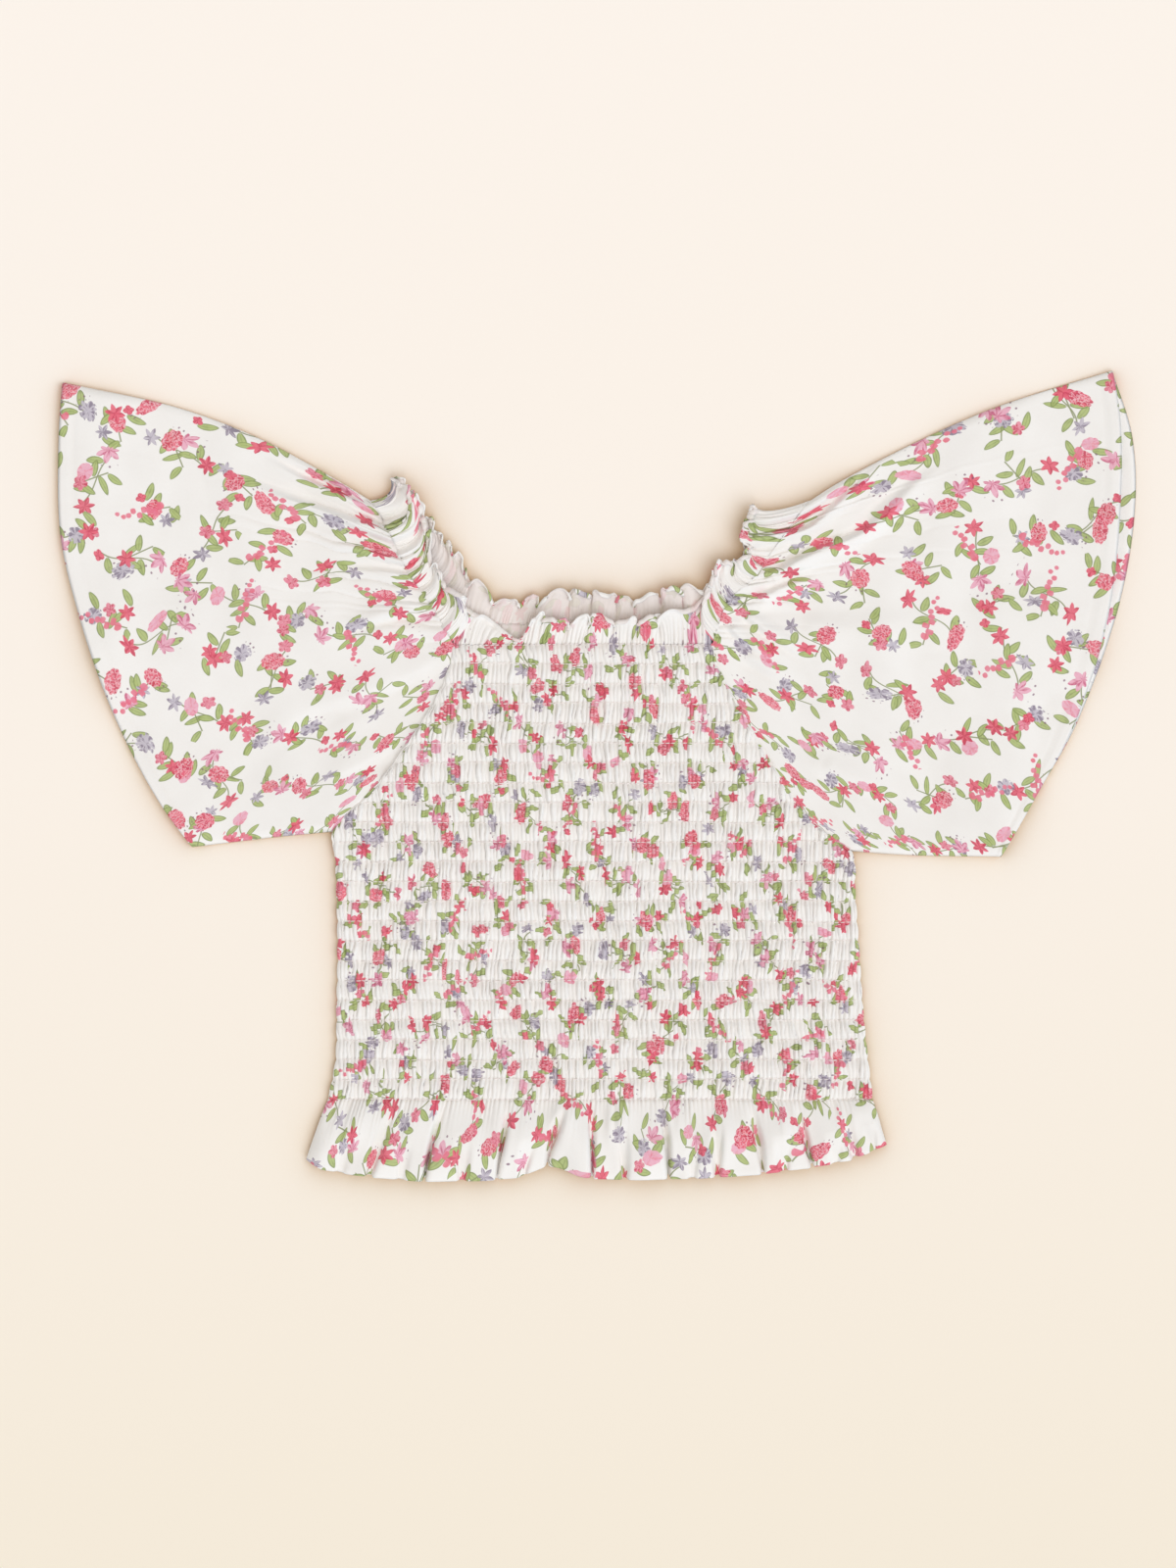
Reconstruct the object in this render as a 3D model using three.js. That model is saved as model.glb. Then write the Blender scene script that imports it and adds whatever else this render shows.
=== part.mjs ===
// A shirred crop top with flutter sleeves, lying flat on a table with its front up.
// Millimetres. +X is to the right and +Y toward the neck as the front is seen from above, and +Z is up.
// The origin is under the middle of the outline, on the table. Left and right are as seen from above.
// Each cut piece, and each frill that a panel ends in, is a closed wall of cloth of its own.
import * as THREE from 'three';

// ---------- Driving sizes ----------

const CLOTH = 1.2; // one soft layer of woven cloth, as it lies
const GAP = 0.3; // between neighbouring pieces, and between layers
const PLAN_GAP = 0.4; // the same along a slanting seam, measured level

const ROWS = 24; // rows of elastic thread on each panel
const ROW_PITCH = 10.07;
const FRONT_NECK_ROW = 66.3; // Y of the row at the front neckline
const BACK_NECK_ROW = 77; // the back neckline is higher
const HEM_ROW = FRONT_NECK_ROW - (ROWS - 1) * ROW_PITCH;

const BACK_THICKNESS = 2.2; // shirred cloth, flat where it rests
const FRONT_INSIDE = BACK_THICKNESS + GAP;
const PINCHED = 1.5; // the front wall along a row of elastic
const PUCKER_PITCH = 7;
const PUCKER_RISE = { ridge: 2.1, groove: 0.3 }; // between rows, above the pinched cloth

const SLEEVE_UNDER = CLOTH / 2; // middle of a sleeve's lower layer
const SLEEVE_OVER = 1.5 * CLOTH + GAP; // middle of its upper layer where it lies flat
const FOLD_ROUND = 5; // a folded edge is this far across before it lies flat

// Side edges of both panels: raglan seams from the neck to the armpits, then the sides down to the hem.
const BODY_EDGES = [
  { y: -166, left: -137.5, right: 139.5 },
  { y: -145, left: -133.5, right: 137 },
  { y: -120, left: -133, right: 134.5 },
  { y: -90, left: -132.5, right: 132.5 },
  { y: -60, left: -133, right: 130.5 },
  { y: -40, left: -134, right: 129 },
  { y: -32, left: -135.5, right: 119 },
  { y: -22, left: -130, right: 107 },
  { y: -6, left: -113.5, right: 95.5 },
  { y: 16, left: -97, right: 82 },
  { y: 36, left: -84, right: 71 },
  { y: 54, left: -76, right: 61 },
  { y: 68, left: -73.5, right: 57.5 },
  { y: 90, left: -71, right: 55 },
];

// Free edges of the frills: how far up the neck frills stand, and how far down the hem ruffle hangs.
const NECK_FRILL_FRONT = [
  { x: -67.8, y: 85 },
  { x: -60, y: 79 },
  { x: -45, y: 71 },
  { x: -37, y: 71 },
  { x: -29, y: 79 },
  { x: 0, y: 78 },
  { x: 36, y: 79.5 },
  { x: 46, y: 84 },
  { x: 56.3, y: 91 },
];
const NECK_FRILL_BACK = [
  { x: -66.8, y: 98 },
  { x: -60, y: 93 },
  { x: -50, y: 87 },
  { x: -20, y: 90 },
  { x: 0, y: 90 },
  { x: 18, y: 87 },
  { x: 34, y: 91.5 },
  { x: 53.8, y: 92.5 },
];
const HEM_EDGE = [
  { x: -149, y: -196 },
  { x: -140, y: -201 },
  { x: -113, y: -205 },
  { x: -85, y: -207 },
  { x: -40, y: -205 },
  { x: -25, y: -199 },
  { x: -7, y: -205 },
  { x: 30, y: -206 },
  { x: 76, y: -204 },
  { x: 104, y: -200.5 },
  { x: 128, y: -196 },
  { x: 147, y: -188.5 },
];
// The deep folds of the hem ruffle, from the hem up: where, how deep, how wide, and how far up the ruffle they run.
const HEM_FOLDS = [
  { x: -116, depth: 1.8, width: 7, run: 0.7 },
  { x: -88, depth: 3.4, width: 5, run: 1 },
  { x: -51, depth: 3.6, width: 5, run: 1 },
  { x: -25, depth: 3.8, width: 6, run: 0.8 },
  { x: -4, depth: 3.6, width: 5, run: 1 },
  { x: 13, depth: 1.8, width: 5, run: 0.7 },
  { x: 35, depth: 3.4, width: 5, run: 1 },
  { x: 61, depth: 2, width: 6, run: 0.8 },
  { x: 83, depth: 3, width: 7, run: 1 },
  { x: 108, depth: 3.4, width: 5, run: 0.9 },
  { x: 130, depth: 1.8, width: 5, run: 0.7 },
];

// Sleeve edges in plan. A sleeve's inner edge runs up the raglan seam and on along its gathered neck edge to the
// shoulder, where the sleeve is folded; frill is the free edge beyond the gathers. Lists run up or outward.
// Folds are the largest ridges, which start at the gathers: at is the way along the inner edge, 1 at the shoulder.
const SLEEVES = {
  left: {
    gatherFront: [
      { x: -74.2, y: 67 }, { x: -84, y: 84 }, { x: -97, y: 103 }, { x: -106, y: 122 },
      { x: -115, y: 139 },
    ],
    gatherBack: [{ x: -73.2, y: 77.5 }, { x: -82, y: 96 }, { x: -95, y: 116 }, { x: -115, y: 139 }],
    frillFront: [
      { x: -68, y: 86 }, { x: -80, y: 97 }, { x: -87, y: 115 }, { x: -91, y: 131 },
      { x: -104, y: 150 },
    ],
    frillBack: [
      { x: -67, y: 99.5 }, { x: -71, y: 108 }, { x: -78, y: 116 }, { x: -86, y: 128 },
      { x: -103, y: 150 },
    ],
    topFold: [
      { x: -115, y: 139 }, { x: -133, y: 150 }, { x: -172, y: 171 }, { x: -214, y: 187 },
      { x: -273, y: 200 },
    ],
    underarm: [{ x: -136, y: -29 }, { x: -165, y: -32 }, { x: -207, y: -37 }],
    hemFront: [
      { x: -207, y: -37 }, { x: -223, y: -15 }, { x: -245, y: 26 }, { x: -265, y: 83 },
      { x: -274, y: 122 }, { x: -275, y: 168 }, { x: -273, y: 200 },
    ],
    hemBack: [
      { x: -207, y: -37 }, { x: -222, y: -15 }, { x: -243, y: 26 }, { x: -263, y: 83 },
      { x: -272, y: 122 }, { x: -273, y: 168 }, { x: -273, y: 200 },
    ],
    folds: [
      { at: 0.93, height: 3.2, width: 0.022, reach: 95 },
      { at: 0.84, height: 3.6, width: 0.026, reach: 75 },
      { at: 0.7, height: 2.6, width: 0.03, reach: 60 },
      { at: 0.52, height: 2.4, width: 0.04, reach: 90 },
      { at: 0.3, height: 1.4, width: 0.05, reach: 60 },
    ],
  },
  right: {
    gatherFront: [
      { x: 58.2, y: 67 }, { x: 66, y: 88 }, { x: 78, y: 99 }, { x: 88, y: 113 },
      { x: 107, y: 139 },
    ],
    gatherBack: [{ x: 57, y: 77.5 }, { x: 66, y: 97 }, { x: 84, y: 115 }, { x: 107, y: 139 }],
    frillFront: [
      { x: 56.5, y: 92 }, { x: 62, y: 105 }, { x: 76, y: 109 }, { x: 77, y: 124 },
      { x: 80, y: 136 },
    ],
    frillBack: [
      { x: 54, y: 93.5 }, { x: 60, y: 102 }, { x: 73, y: 108 }, { x: 76, y: 124 },
      { x: 80, y: 136 },
    ],
    topFold: [
      { x: 107, y: 139 }, { x: 121, y: 148 }, { x: 159, y: 168 }, { x: 202, y: 187 },
      { x: 262, y: 206 },
    ],
    underarm: [{ x: 129.5, y: -39 }, { x: 156, y: -41 }, { x: 205, y: -42 }],
    hemFront: [
      { x: 205, y: -42 }, { x: 223, y: -11 }, { x: 242, y: 24 }, { x: 260, y: 83 },
      { x: 266, y: 141 }, { x: 266, y: 178 }, { x: 262, y: 206 },
    ],
    hemBack: [
      { x: 205, y: -42 }, { x: 223, y: -11 }, { x: 243, y: 24 }, { x: 266, y: 88 },
      { x: 274, y: 140 }, { x: 272, y: 174 }, { x: 262, y: 206 },
    ],
    folds: [
      { at: 0.92, height: 3.2, width: 0.022, reach: 100 },
      { at: 0.82, height: 4, width: 0.026, reach: 85 },
      { at: 0.66, height: 2.6, width: 0.03, reach: 60 },
      { at: 0.54, height: 2.2, width: 0.035, reach: 70 },
      { at: 0.3, height: 1.2, width: 0.05, reach: 50 },
    ],
  },
};
const RAGLAN_SHARE = 0.4; // the part of a sleeve's inner edge stations that lies along the raglan seam
const RAGLAN_RISE = 1.6; // a sleeve's upper layer is this much higher where it joins the front
const GATHER_RISE = 2.8; // and this much where the gathers bunch up
const RISE_REACH = 45; // how far from the inner edge it is before it has mostly come down
const GATHERS_BEGIN = 0.08; // the part of the inner edge over which the gathers swell, above the raglan seam
const GATHER_DEPTH = 1.1; // of one gather, crest to level
const GATHER_REACH = 24; // how far the gathers run before they have mostly gone
const FOLD_START = { share: 0.3, reach: 12 }; // a fold starts at this share of its height, and is full this far on
const SLEEVE_HEM_WAVES = { height: 0.9, turns: 14, start: 1 }; // slow waves at a sleeve's hem
const SLEEVE_RINGS = 12;
const GATHER_COLUMNS = 22; // two to a gather
const RAGLAN_COLUMNS = 9;
const UNDER_COLUMNS = 10;

const FRILL_DIP = 1.6; // a frill's edge draws back this far between its crests
const UNEVEN = { share: 0.35, turn: 2.1 }; // crests differ in height by this share, each by this turn from the last
const HEM_SWELL = { root: 0.12, grows: 0.68 }; // the ruffle rises and falls as this stretch of a half wave
const HEM_SIDE = 8; // the ruffle comes down to the table over this width at its two ends
const HEM_GATHER = { height: 0.5, run: 3 }; // fine gathers under the last row, gone at one part in this many

const COLORS = { printed: '#ece4dd', frill: '#efe7e0', inside: '#e6d8d3' };

// ---------- Small tools ----------

const clamp = (value, low, high) => Math.min(Math.max(value, low), high);
const bump = (distance) => Math.exp(-distance * distance);
const parity = (count) => (count % 2 === 0 ? 1 : -1);
const mix = (from, to, share) => from + (to - from) * share;

// One column of a table, read smoothly at a value of another column. Rows are in rising order of that other.
function readTable(table, along, name, at) {
  const last = table.length - 1;
  let row = 0;
  while (row < last - 1 && at > table[row + 1][along]) row++;
  const slope = (k) => {
    const before = table[Math.max(k - 1, 0)];
    const after = table[Math.min(k + 1, last)];
    return (after[name] - before[name]) / (after[along] - before[along]);
  };
  const low = table[row];
  const high = table[row + 1];
  const span = high[along] - low[along];
  const u = clamp((at - low[along]) / span, 0, 1);
  const rise = u * u * (3 - 2 * u);
  const startTurn = u * (1 - u) * (1 - u) * span * slope(row);
  const endTurn = u * u * (1 - u) * span * slope(row + 1);
  return mix(low[name], high[name], rise) + startTurn - endTurn;
}

const bodyEdge = (side, y) => readTable(BODY_EDGES, 'y', side, y);

function planCurve(rows) {
  const places = rows.map(({ x, y }) => new THREE.Vector3(x, y, 0));
  return new THREE.CatmullRomCurve3(places, false, 'centripetal');
}

// A closed mesh of triangles, with its faces turned outward.
function closedMesh(name, color, positions, index) {
  const corner = (k) => new THREE.Vector3().fromArray(positions, 3 * k);
  let volume = 0;
  for (let k = 0; k < index.length; k += 3) {
    const [a, b, c] = index.slice(k, k + 3).map(corner);
    volume += a.dot(b.cross(c));
  }
  const geometry = new THREE.BufferGeometry();
  geometry.setAttribute('position', new THREE.Float32BufferAttribute(positions, 3));
  geometry.setIndex(volume < 0 ? [...index].reverse() : index);
  geometry.computeVertexNormals();
  const material = new THREE.MeshStandardMaterial({ color, roughness: 0.9, metalness: 0, side: THREE.DoubleSide });
  const mesh = new THREE.Mesh(geometry, material);
  mesh.name = name;
  return mesh;
}

// A wall of cloth over a grid of places. place(row, column) gives the middle of the cloth and the unit way across it.
// With a loop, the last column joins the first, as it does round a sleeve.
function clothWall(name, color, rows, columns, place, loop = false) {
  const positions = [];
  for (const side of [CLOTH / 2, -CLOTH / 2]) {
    for (let row = 0; row < rows; row++) {
      for (let column = 0; column < columns; column++) {
        const { middle, across } = place(row, column);
        positions.push(...middle.clone().addScaledVector(across, side).toArray());
      }
    }
  }
  const vertex = (face, row, column) => (face * rows + row) * columns + (column % columns);
  const index = [];
  const quad = (a, b, c, d) => index.push(a, b, c, a, c, d);
  const spans = loop ? columns : columns - 1;
  for (let column = 0; column < spans; column++) {
    const next = column + 1;
    for (let row = 0; row < rows - 1; row++) {
      quad(vertex(0, row, column), vertex(0, row + 1, column), vertex(0, row + 1, next), vertex(0, row, next));
      quad(vertex(1, row, column), vertex(1, row, next), vertex(1, row + 1, next), vertex(1, row + 1, column));
    }
    quad(vertex(0, 0, column), vertex(0, 0, next), vertex(1, 0, next), vertex(1, 0, column));
    const end = rows - 1;
    quad(vertex(0, end, column), vertex(1, end, column), vertex(1, end, next), vertex(0, end, next));
  }
  for (let row = 0; !loop && row < rows - 1; row++) {
    quad(vertex(0, row, 0), vertex(1, row, 0), vertex(1, row + 1, 0), vertex(0, row + 1, 0));
    const end = columns - 1;
    quad(vertex(0, row, end), vertex(0, row + 1, end), vertex(1, row + 1, end), vertex(1, row, end));
  }
  return closedMesh(name, color, positions, index);
}

const UP = new THREE.Vector3(0, 0, 1);

// ---------- The shirred panels ----------

// The front: a flat inside, and an outside pinched along each row of elastic and puckered between the rows.
// Puckers stand in vertical columns, and change places from one band to the next.
function frontPanel() {
  const columnPitch = PUCKER_PITCH / 2;
  const lineCount = 2 * (ROWS - 1) + 1; // each row of elastic, and each middle between rows
  const positions = [];
  const addVertex = (x, y, z) => {
    positions.push(x, y, z);
    return { x, vertex: positions.length / 3 - 1 };
  };

  const outside = [];
  const inside = [];
  for (let line = 0; line < lineCount; line++) {
    const y = FRONT_NECK_ROW - (line * ROW_PITCH) / 2;
    const left = bodyEdge('left', y);
    const right = bodyEdge('right', y);
    const between = line % 2 === 1;
    const band = (line - 1) / 2;
    const pinchedZ = FRONT_INSIDE + PINCHED;
    const points = [addVertex(left, y, pinchedZ)];
    const firstColumn = Math.ceil(left / columnPitch + 0.4);
    const lastColumn = Math.floor(right / columnPitch - 0.4);
    for (let column = firstColumn; column <= lastColumn; column++) {
      const raised = parity(column + band) > 0 ? PUCKER_RISE.ridge : PUCKER_RISE.groove;
      points.push(addVertex(column * columnPitch, y, pinchedZ + (between ? raised : 0)));
    }
    points.push(addVertex(right, y, pinchedZ));
    outside.push(points);
    // Only the panel's border has points on the flat inside.
    const isEnd = line === 0 || line === lineCount - 1;
    const border = isEnd ? points : [points[0], points[points.length - 1]];
    inside.push(border.map(({ x }) => addVertex(x, y, FRONT_INSIDE)));
  }

  const index = [];
  // Triangles between two neighbouring lines of points, each in order of x.
  const zip = (upper, lower, facesUp) => {
    let i = 0;
    let j = 0;
    while (i < upper.length - 1 || j < lower.length - 1) {
      const upperNext = j === lower.length - 1 || (i < upper.length - 1 && upper[i + 1].x <= lower[j + 1].x);
      const third = upperNext ? upper[i + 1] : lower[j + 1];
      const corners = [upper[i], lower[j], third];
      if (!facesUp) corners.reverse();
      index.push(...corners.map(({ vertex }) => vertex));
      if (upperNext) i++;
      else j++;
    }
  };
  // The wall's edge, between a run of outside points and the same run inside.
  const edge = (above, below) => {
    for (let k = 0; k < above.length - 1; k++) {
      const [a, b, c, d] = [above[k], above[k + 1], below[k + 1], below[k]].map(({ vertex }) => vertex);
      index.push(a, b, c, a, c, d);
    }
  };
  for (let line = 0; line < lineCount - 1; line++) {
    zip(outside[line], outside[line + 1], true);
    zip(inside[line], inside[line + 1], false);
  }
  const ends = (lines, at) => lines.map((points) => points.at(at));
  edge(outside[0], inside[0]);
  edge(ends(outside, -1), ends(inside, -1));
  edge([...outside.at(-1)].reverse(), [...inside.at(-1)].reverse());
  edge(ends(outside, 0).reverse(), ends(inside, 0).reverse());
  return closedMesh('body_front', COLORS.printed, positions, index);
}

// The back: it lies flat under the front, and reaches higher at the neck.
function backPanel() {
  const steps = 30;
  const sidePoints = (side) => Array.from({ length: steps + 1 }, (_, k) => {
    const y = mix(HEM_ROW, BACK_NECK_ROW, k / steps);
    return new THREE.Vector2(bodyEdge(side, y), y);
  });
  const outline = new THREE.Shape([...sidePoints('right'), ...sidePoints('left').reverse()]);
  const geometry = new THREE.ExtrudeGeometry(outline, { depth: BACK_THICKNESS, bevelEnabled: false });
  const material = new THREE.MeshStandardMaterial({ color: COLORS.inside, roughness: 0.9, metalness: 0 });
  const mesh = new THREE.Mesh(geometry, material);
  mesh.name = 'body_back';
  return mesh;
}

// ---------- Frills of the panels ----------

// A frill from a level row of stitching to a free edge. Its waves swell from the stitching to the edge.
function neckFrill({ name, color, rowY, edge, layer, waves, waveRise }) {
  const rows = 4;
  const columns = 2 * waves + 1;
  const place = (row, column) => {
    const down = row / (rows - 1);
    const across = column / (columns - 1);
    const rootX = mix(bodyEdge('left', rowY) + PLAN_GAP, bodyEdge('right', rowY) - PLAN_GAP, across);
    const edgeX = mix(edge[0].x + PLAN_GAP, edge.at(-1).x - PLAN_GAP, across);
    const x = mix(rootX, edgeX, down);
    const dip = parity(column) > 0 ? 0 : FRILL_DIP;
    const y = mix(rowY + GAP, readTable(edge, 'x', 'y', edgeX) - dip, down);
    const swell = down * waveRise * (1 + UNEVEN.share * Math.sin(UNEVEN.turn * column));
    const z = layer + (parity(column) > 0 ? swell : 0);
    return { middle: new THREE.Vector3(x, y, z), across: UP };
  };
  return clothWall(name, color, rows, columns, place);
}

// The hem ruffle: fine gathers under the last row, which run together into deep folds toward the hem.
function hemRuffle({ name, color, inset, layer, crest, foldShare, rows, columns }) {
  const left = HEM_EDGE[0].x + inset;
  const right = HEM_EDGE.at(-1).x - inset;
  const place = (row, column) => {
    const down = row / (rows - 1);
    const across = column / (columns - 1);
    const rootX = mix(bodyEdge('left', HEM_ROW), bodyEdge('right', HEM_ROW), across);
    const edgeX = mix(left, right, across);
    const x = mix(rootX, edgeX, down);
    const y = mix(HEM_ROW - GAP, readTable(HEM_EDGE, 'x', 'y', edgeX) + inset, down);
    const fromSide = Math.min(across, 1 - across) * (right - left);
    const side = Math.min(1, fromSide / HEM_SIDE);
    const swell = crest * Math.sin(Math.PI * (HEM_SWELL.root + HEM_SWELL.grows * down)) * side;
    const gathers = HEM_GATHER.height * parity(column) * clamp(1 - HEM_GATHER.run * down, 0, 1) * foldShare;
    let valley = 0;
    for (const fold of HEM_FOLDS) {
      const grown = clamp((down - 1 + fold.run) / fold.run, 0, 1);
      valley += fold.depth * Math.sqrt(grown) * bump((edgeX - fold.x) / fold.width);
    }
    const z = layer + Math.max(0, swell + gathers - valley * foldShare * side);
    return { middle: new THREE.Vector3(x, y, z), across: UP };
  };
  return clothWall(name, color, rows, columns, place);
}

// ---------- Sleeves ----------

// A sleeve lies flat as two layers joined by a fold along the top and one at the underarm. Both ends are open.
function sleeve(side) {
  const cut = SLEEVES[side];
  const outward = side === 'left' ? -1 : 1;
  const seamTop = { front: cut.gatherFront[0], back: cut.gatherBack[0] };

  const raglan = (layer, share) => {
    const y = mix(cut.underarm[0].y, seamTop[layer].y, share);
    const x = bodyEdge(side, y) + outward * PLAN_GAP * 1.5;
    return new THREE.Vector3(x, y, 0);
  };
  const curves = {
    gatherfront: planCurve(cut.gatherFront),
    gatherback: planCurve(cut.gatherBack),
    hemfront: planCurve(cut.hemFront),
    hemback: planCurve(cut.hemBack),
    topFold: planCurve(cut.topFold),
    underarm: planCurve(cut.underarm),
  };
  const innerEdge = (layer, t) => {
    if (t < RAGLAN_SHARE) return raglan(layer, t / RAGLAN_SHARE);
    return curves[`gather${layer}`].getPointAt((t - RAGLAN_SHARE) / (1 - RAGLAN_SHARE));
  };
  // The layer's plan, filled in evenly between its four edges. s is 0 at the inner edge and 1 at the hem.
  const plan = (layer, s, t) => {
    const inner = innerEdge(layer, t);
    const hem = curves[`hem${layer}`].getPointAt(t);
    const under = curves.underarm.getPointAt(s);
    const top = curves.topFold.getPointAt(s);
    const armpit = innerEdge(layer, 0);
    const shoulder = innerEdge(layer, 1);
    const lowTip = curves.underarm.getPointAt(1);
    const highTip = curves.topFold.getPointAt(1);
    return new THREE.Vector3()
      .addScaledVector(inner, 1 - s).addScaledVector(hem, s)
      .addScaledVector(under, 1 - t).addScaledVector(top, t)
      .addScaledVector(armpit, -(1 - s) * (1 - t)).addScaledVector(lowTip, -s * (1 - t))
      .addScaledVector(shoulder, -(1 - s) * t).addScaledVector(highTip, -s * t);
  };
  const upperHeight = (s, t, gather) => {
    const here = plan('front', s, t);
    const reach = here.distanceTo(innerEdge('front', t));
    const toTop = here.distanceTo(curves.topFold.getPointAt(s));
    const toUnder = here.distanceTo(curves.underarm.getPointAt(s));
    const round = clamp(Math.min(toTop, toUnder) / FOLD_ROUND, 0, 1);
    const inGathers = clamp((t - RAGLAN_SHARE) / GATHERS_BEGIN, 0, 1);
    const lift = mix(RAGLAN_RISE, GATHER_RISE, inGathers) * Math.exp(-reach / RISE_REACH);
    const gathers = inGathers * gather * GATHER_DEPTH * Math.exp(-reach / GATHER_REACH);
    let folds = 0;
    for (const fold of cut.folds) {
      const fade = clamp(1 - reach / fold.reach, 0, 1);
      const start = clamp(reach / FOLD_START.reach, FOLD_START.share, 1);
      folds += fold.height * bump((t - fold.at) / fold.width) * fade * start;
    }
    const { height, turns, start } = SLEEVE_HEM_WAVES;
    const hemWave = height * s * s * (1 + Math.sin(turns * t + start));
    return SLEEVE_OVER + Math.max(0, lift + gathers + folds + hemWave) * Math.sqrt(1 - (1 - round) ** 2);
  };

  // Stations once round the tube: over the upper layer, round the top fold, back under, and round the underarm fold.
  const stations = [{ fold: 'underarm', t: 0 }];
  const upper = (t, gather) => stations.push({ layer: 'front', t, gather });
  upper(0.007, 0);
  upper(0.024, 0);
  for (let k = 1; k <= RAGLAN_COLUMNS; k++) upper((RAGLAN_SHARE * k) / (RAGLAN_COLUMNS + 0.5), 0);
  for (let k = 0; k < GATHER_COLUMNS; k++) {
    upper(mix(RAGLAN_SHARE + 0.01, 0.97, k / (GATHER_COLUMNS - 1)), parity(k));
  }
  upper(0.993, 0);
  stations.push({ fold: 'topFold', t: 1 });
  for (let k = UNDER_COLUMNS - 1; k > 0; k--) stations.push({ layer: 'back', t: k / UNDER_COLUMNS });

  const place = (row, column) => {
    const s = (row / (SLEEVE_RINGS - 1)) ** 1.35;
    const station = stations[column];
    if (station.fold) {
      const isTop = station.fold === 'topFold';
      const toFold = isTop ? new THREE.Vector3(-outward * 0.45, 0.9, 0) : new THREE.Vector3(0, -1, 0);
      const middle = plan('front', s, station.t).addScaledVector(toFold, -CLOTH / 2);
      middle.z = (SLEEVE_UNDER + SLEEVE_OVER) / 2;
      return { middle, across: toFold };
    }
    const middle = plan(station.layer, s, station.t);
    if (station.layer === 'back') {
      middle.z = SLEEVE_UNDER;
      return { middle, across: UP.clone().negate() };
    }
    middle.z = upperHeight(s, station.t, station.gather);
    return { middle, across: UP };
  };
  return clothWall(`sleeve_${side}`, COLORS.printed, SLEEVE_RINGS, stations.length, place, true);
}

// The frill beyond a sleeve's gathers: up the front of the neck edge, over the shoulder fold, and down the back.
function sleeveFrill(side) {
  const cut = SLEEVES[side];
  const outward = side === 'left' ? -1 : 1;
  const rows = 4;
  const frontColumns = 17;
  const backColumns = 9;
  const curves = {
    front: { root: planCurve(cut.gatherFront), edge: planCurve(cut.frillFront) },
    back: { root: planCurve(cut.gatherBack), edge: planCurve(cut.frillBack) },
  };
  const level = { front: SLEEVE_OVER + GATHER_RISE, back: SLEEVE_UNDER };
  const wave = { front: 1.3, back: 0 };
  const foldTop = 0.985;
  const stations = [];
  for (let k = 0; k < frontColumns; k++) {
    stations.push({ layer: 'front', t: (foldTop * k) / (frontColumns - 1), turn: 0 });
  }
  stations.push({ layer: 'front', t: 1, turn: 0.5 });
  for (let k = backColumns - 1; k >= 0; k--) {
    stations.push({ layer: 'back', t: (foldTop * k) / (backColumns - 1), turn: 1 });
  }
  const foldWay = new THREE.Vector3(outward * 0.5, 0.85, 0);

  const place = (row, column) => {
    const { layer, t, turn } = stations[column];
    const out = row / (rows - 1);
    const root = curves[layer].root.getPointAt(t);
    const edge = curves[layer].edge.getPointAt(t);
    const width = root.distanceTo(edge);
    const reach = 1 - (parity(column) > 0 || layer === 'back' ? 0 : FRILL_DIP / width);
    const middle = root.clone().lerp(edge, mix((1.6 * PLAN_GAP) / width, reach, out));
    const angle = Math.PI * turn;
    const across = UP.clone().multiplyScalar(Math.cos(angle)).addScaledVector(foldWay, Math.sin(angle));
    const isFold = turn > 0 && turn < 1;
    middle.z = isFold ? (level.front + level.back) / 2 : level[layer];
    if (!isFold) middle.z += out * wave[layer] * (1 + parity(column));
    return { middle, across };
  };
  return clothWall(`sleeve_ruffle_${side}`, COLORS.frill, rows, stations.length, place);
}

// ---------- The whole top ----------

const pieces = [
  backPanel(),
  frontPanel(),
  neckFrill({
    name: 'neck_ruffle_back', color: COLORS.inside, rowY: BACK_NECK_ROW, edge: NECK_FRILL_BACK,
    layer: CLOTH / 2, waves: 13, waveRise: 1.8,
  }),
  neckFrill({
    name: 'neck_ruffle_front', color: COLORS.frill, rowY: FRONT_NECK_ROW, edge: NECK_FRILL_FRONT,
    layer: FRONT_INSIDE + 1.2 * CLOTH, waves: 13, waveRise: 2.6,
  }),
  hemRuffle({
    name: 'hem_ruffle_back', color: COLORS.printed, inset: 2, layer: CLOTH / 2, crest: 0, foldShare: 0,
    rows: 2, columns: 40,
  }),
  hemRuffle({
    name: 'hem_ruffle_front', color: COLORS.printed, inset: 0, layer: 2 * CLOTH + 2 * GAP, crest: 3.8,
    foldShare: 1, rows: 6, columns: 76,
  }),
  sleeve('left'),
  sleeve('right'),
  sleeveFrill('left'),
  sleeveFrill('right'),
];

const top = new THREE.Group();
top.add(...pieces);
const outline = new THREE.Box3().setFromObject(top);
const middle = outline.getCenter(new THREE.Vector3());
top.position.set(-middle.x, -middle.y, -outline.min.z);

export default top;
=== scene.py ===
import math
from functools import partialmethod

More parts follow.
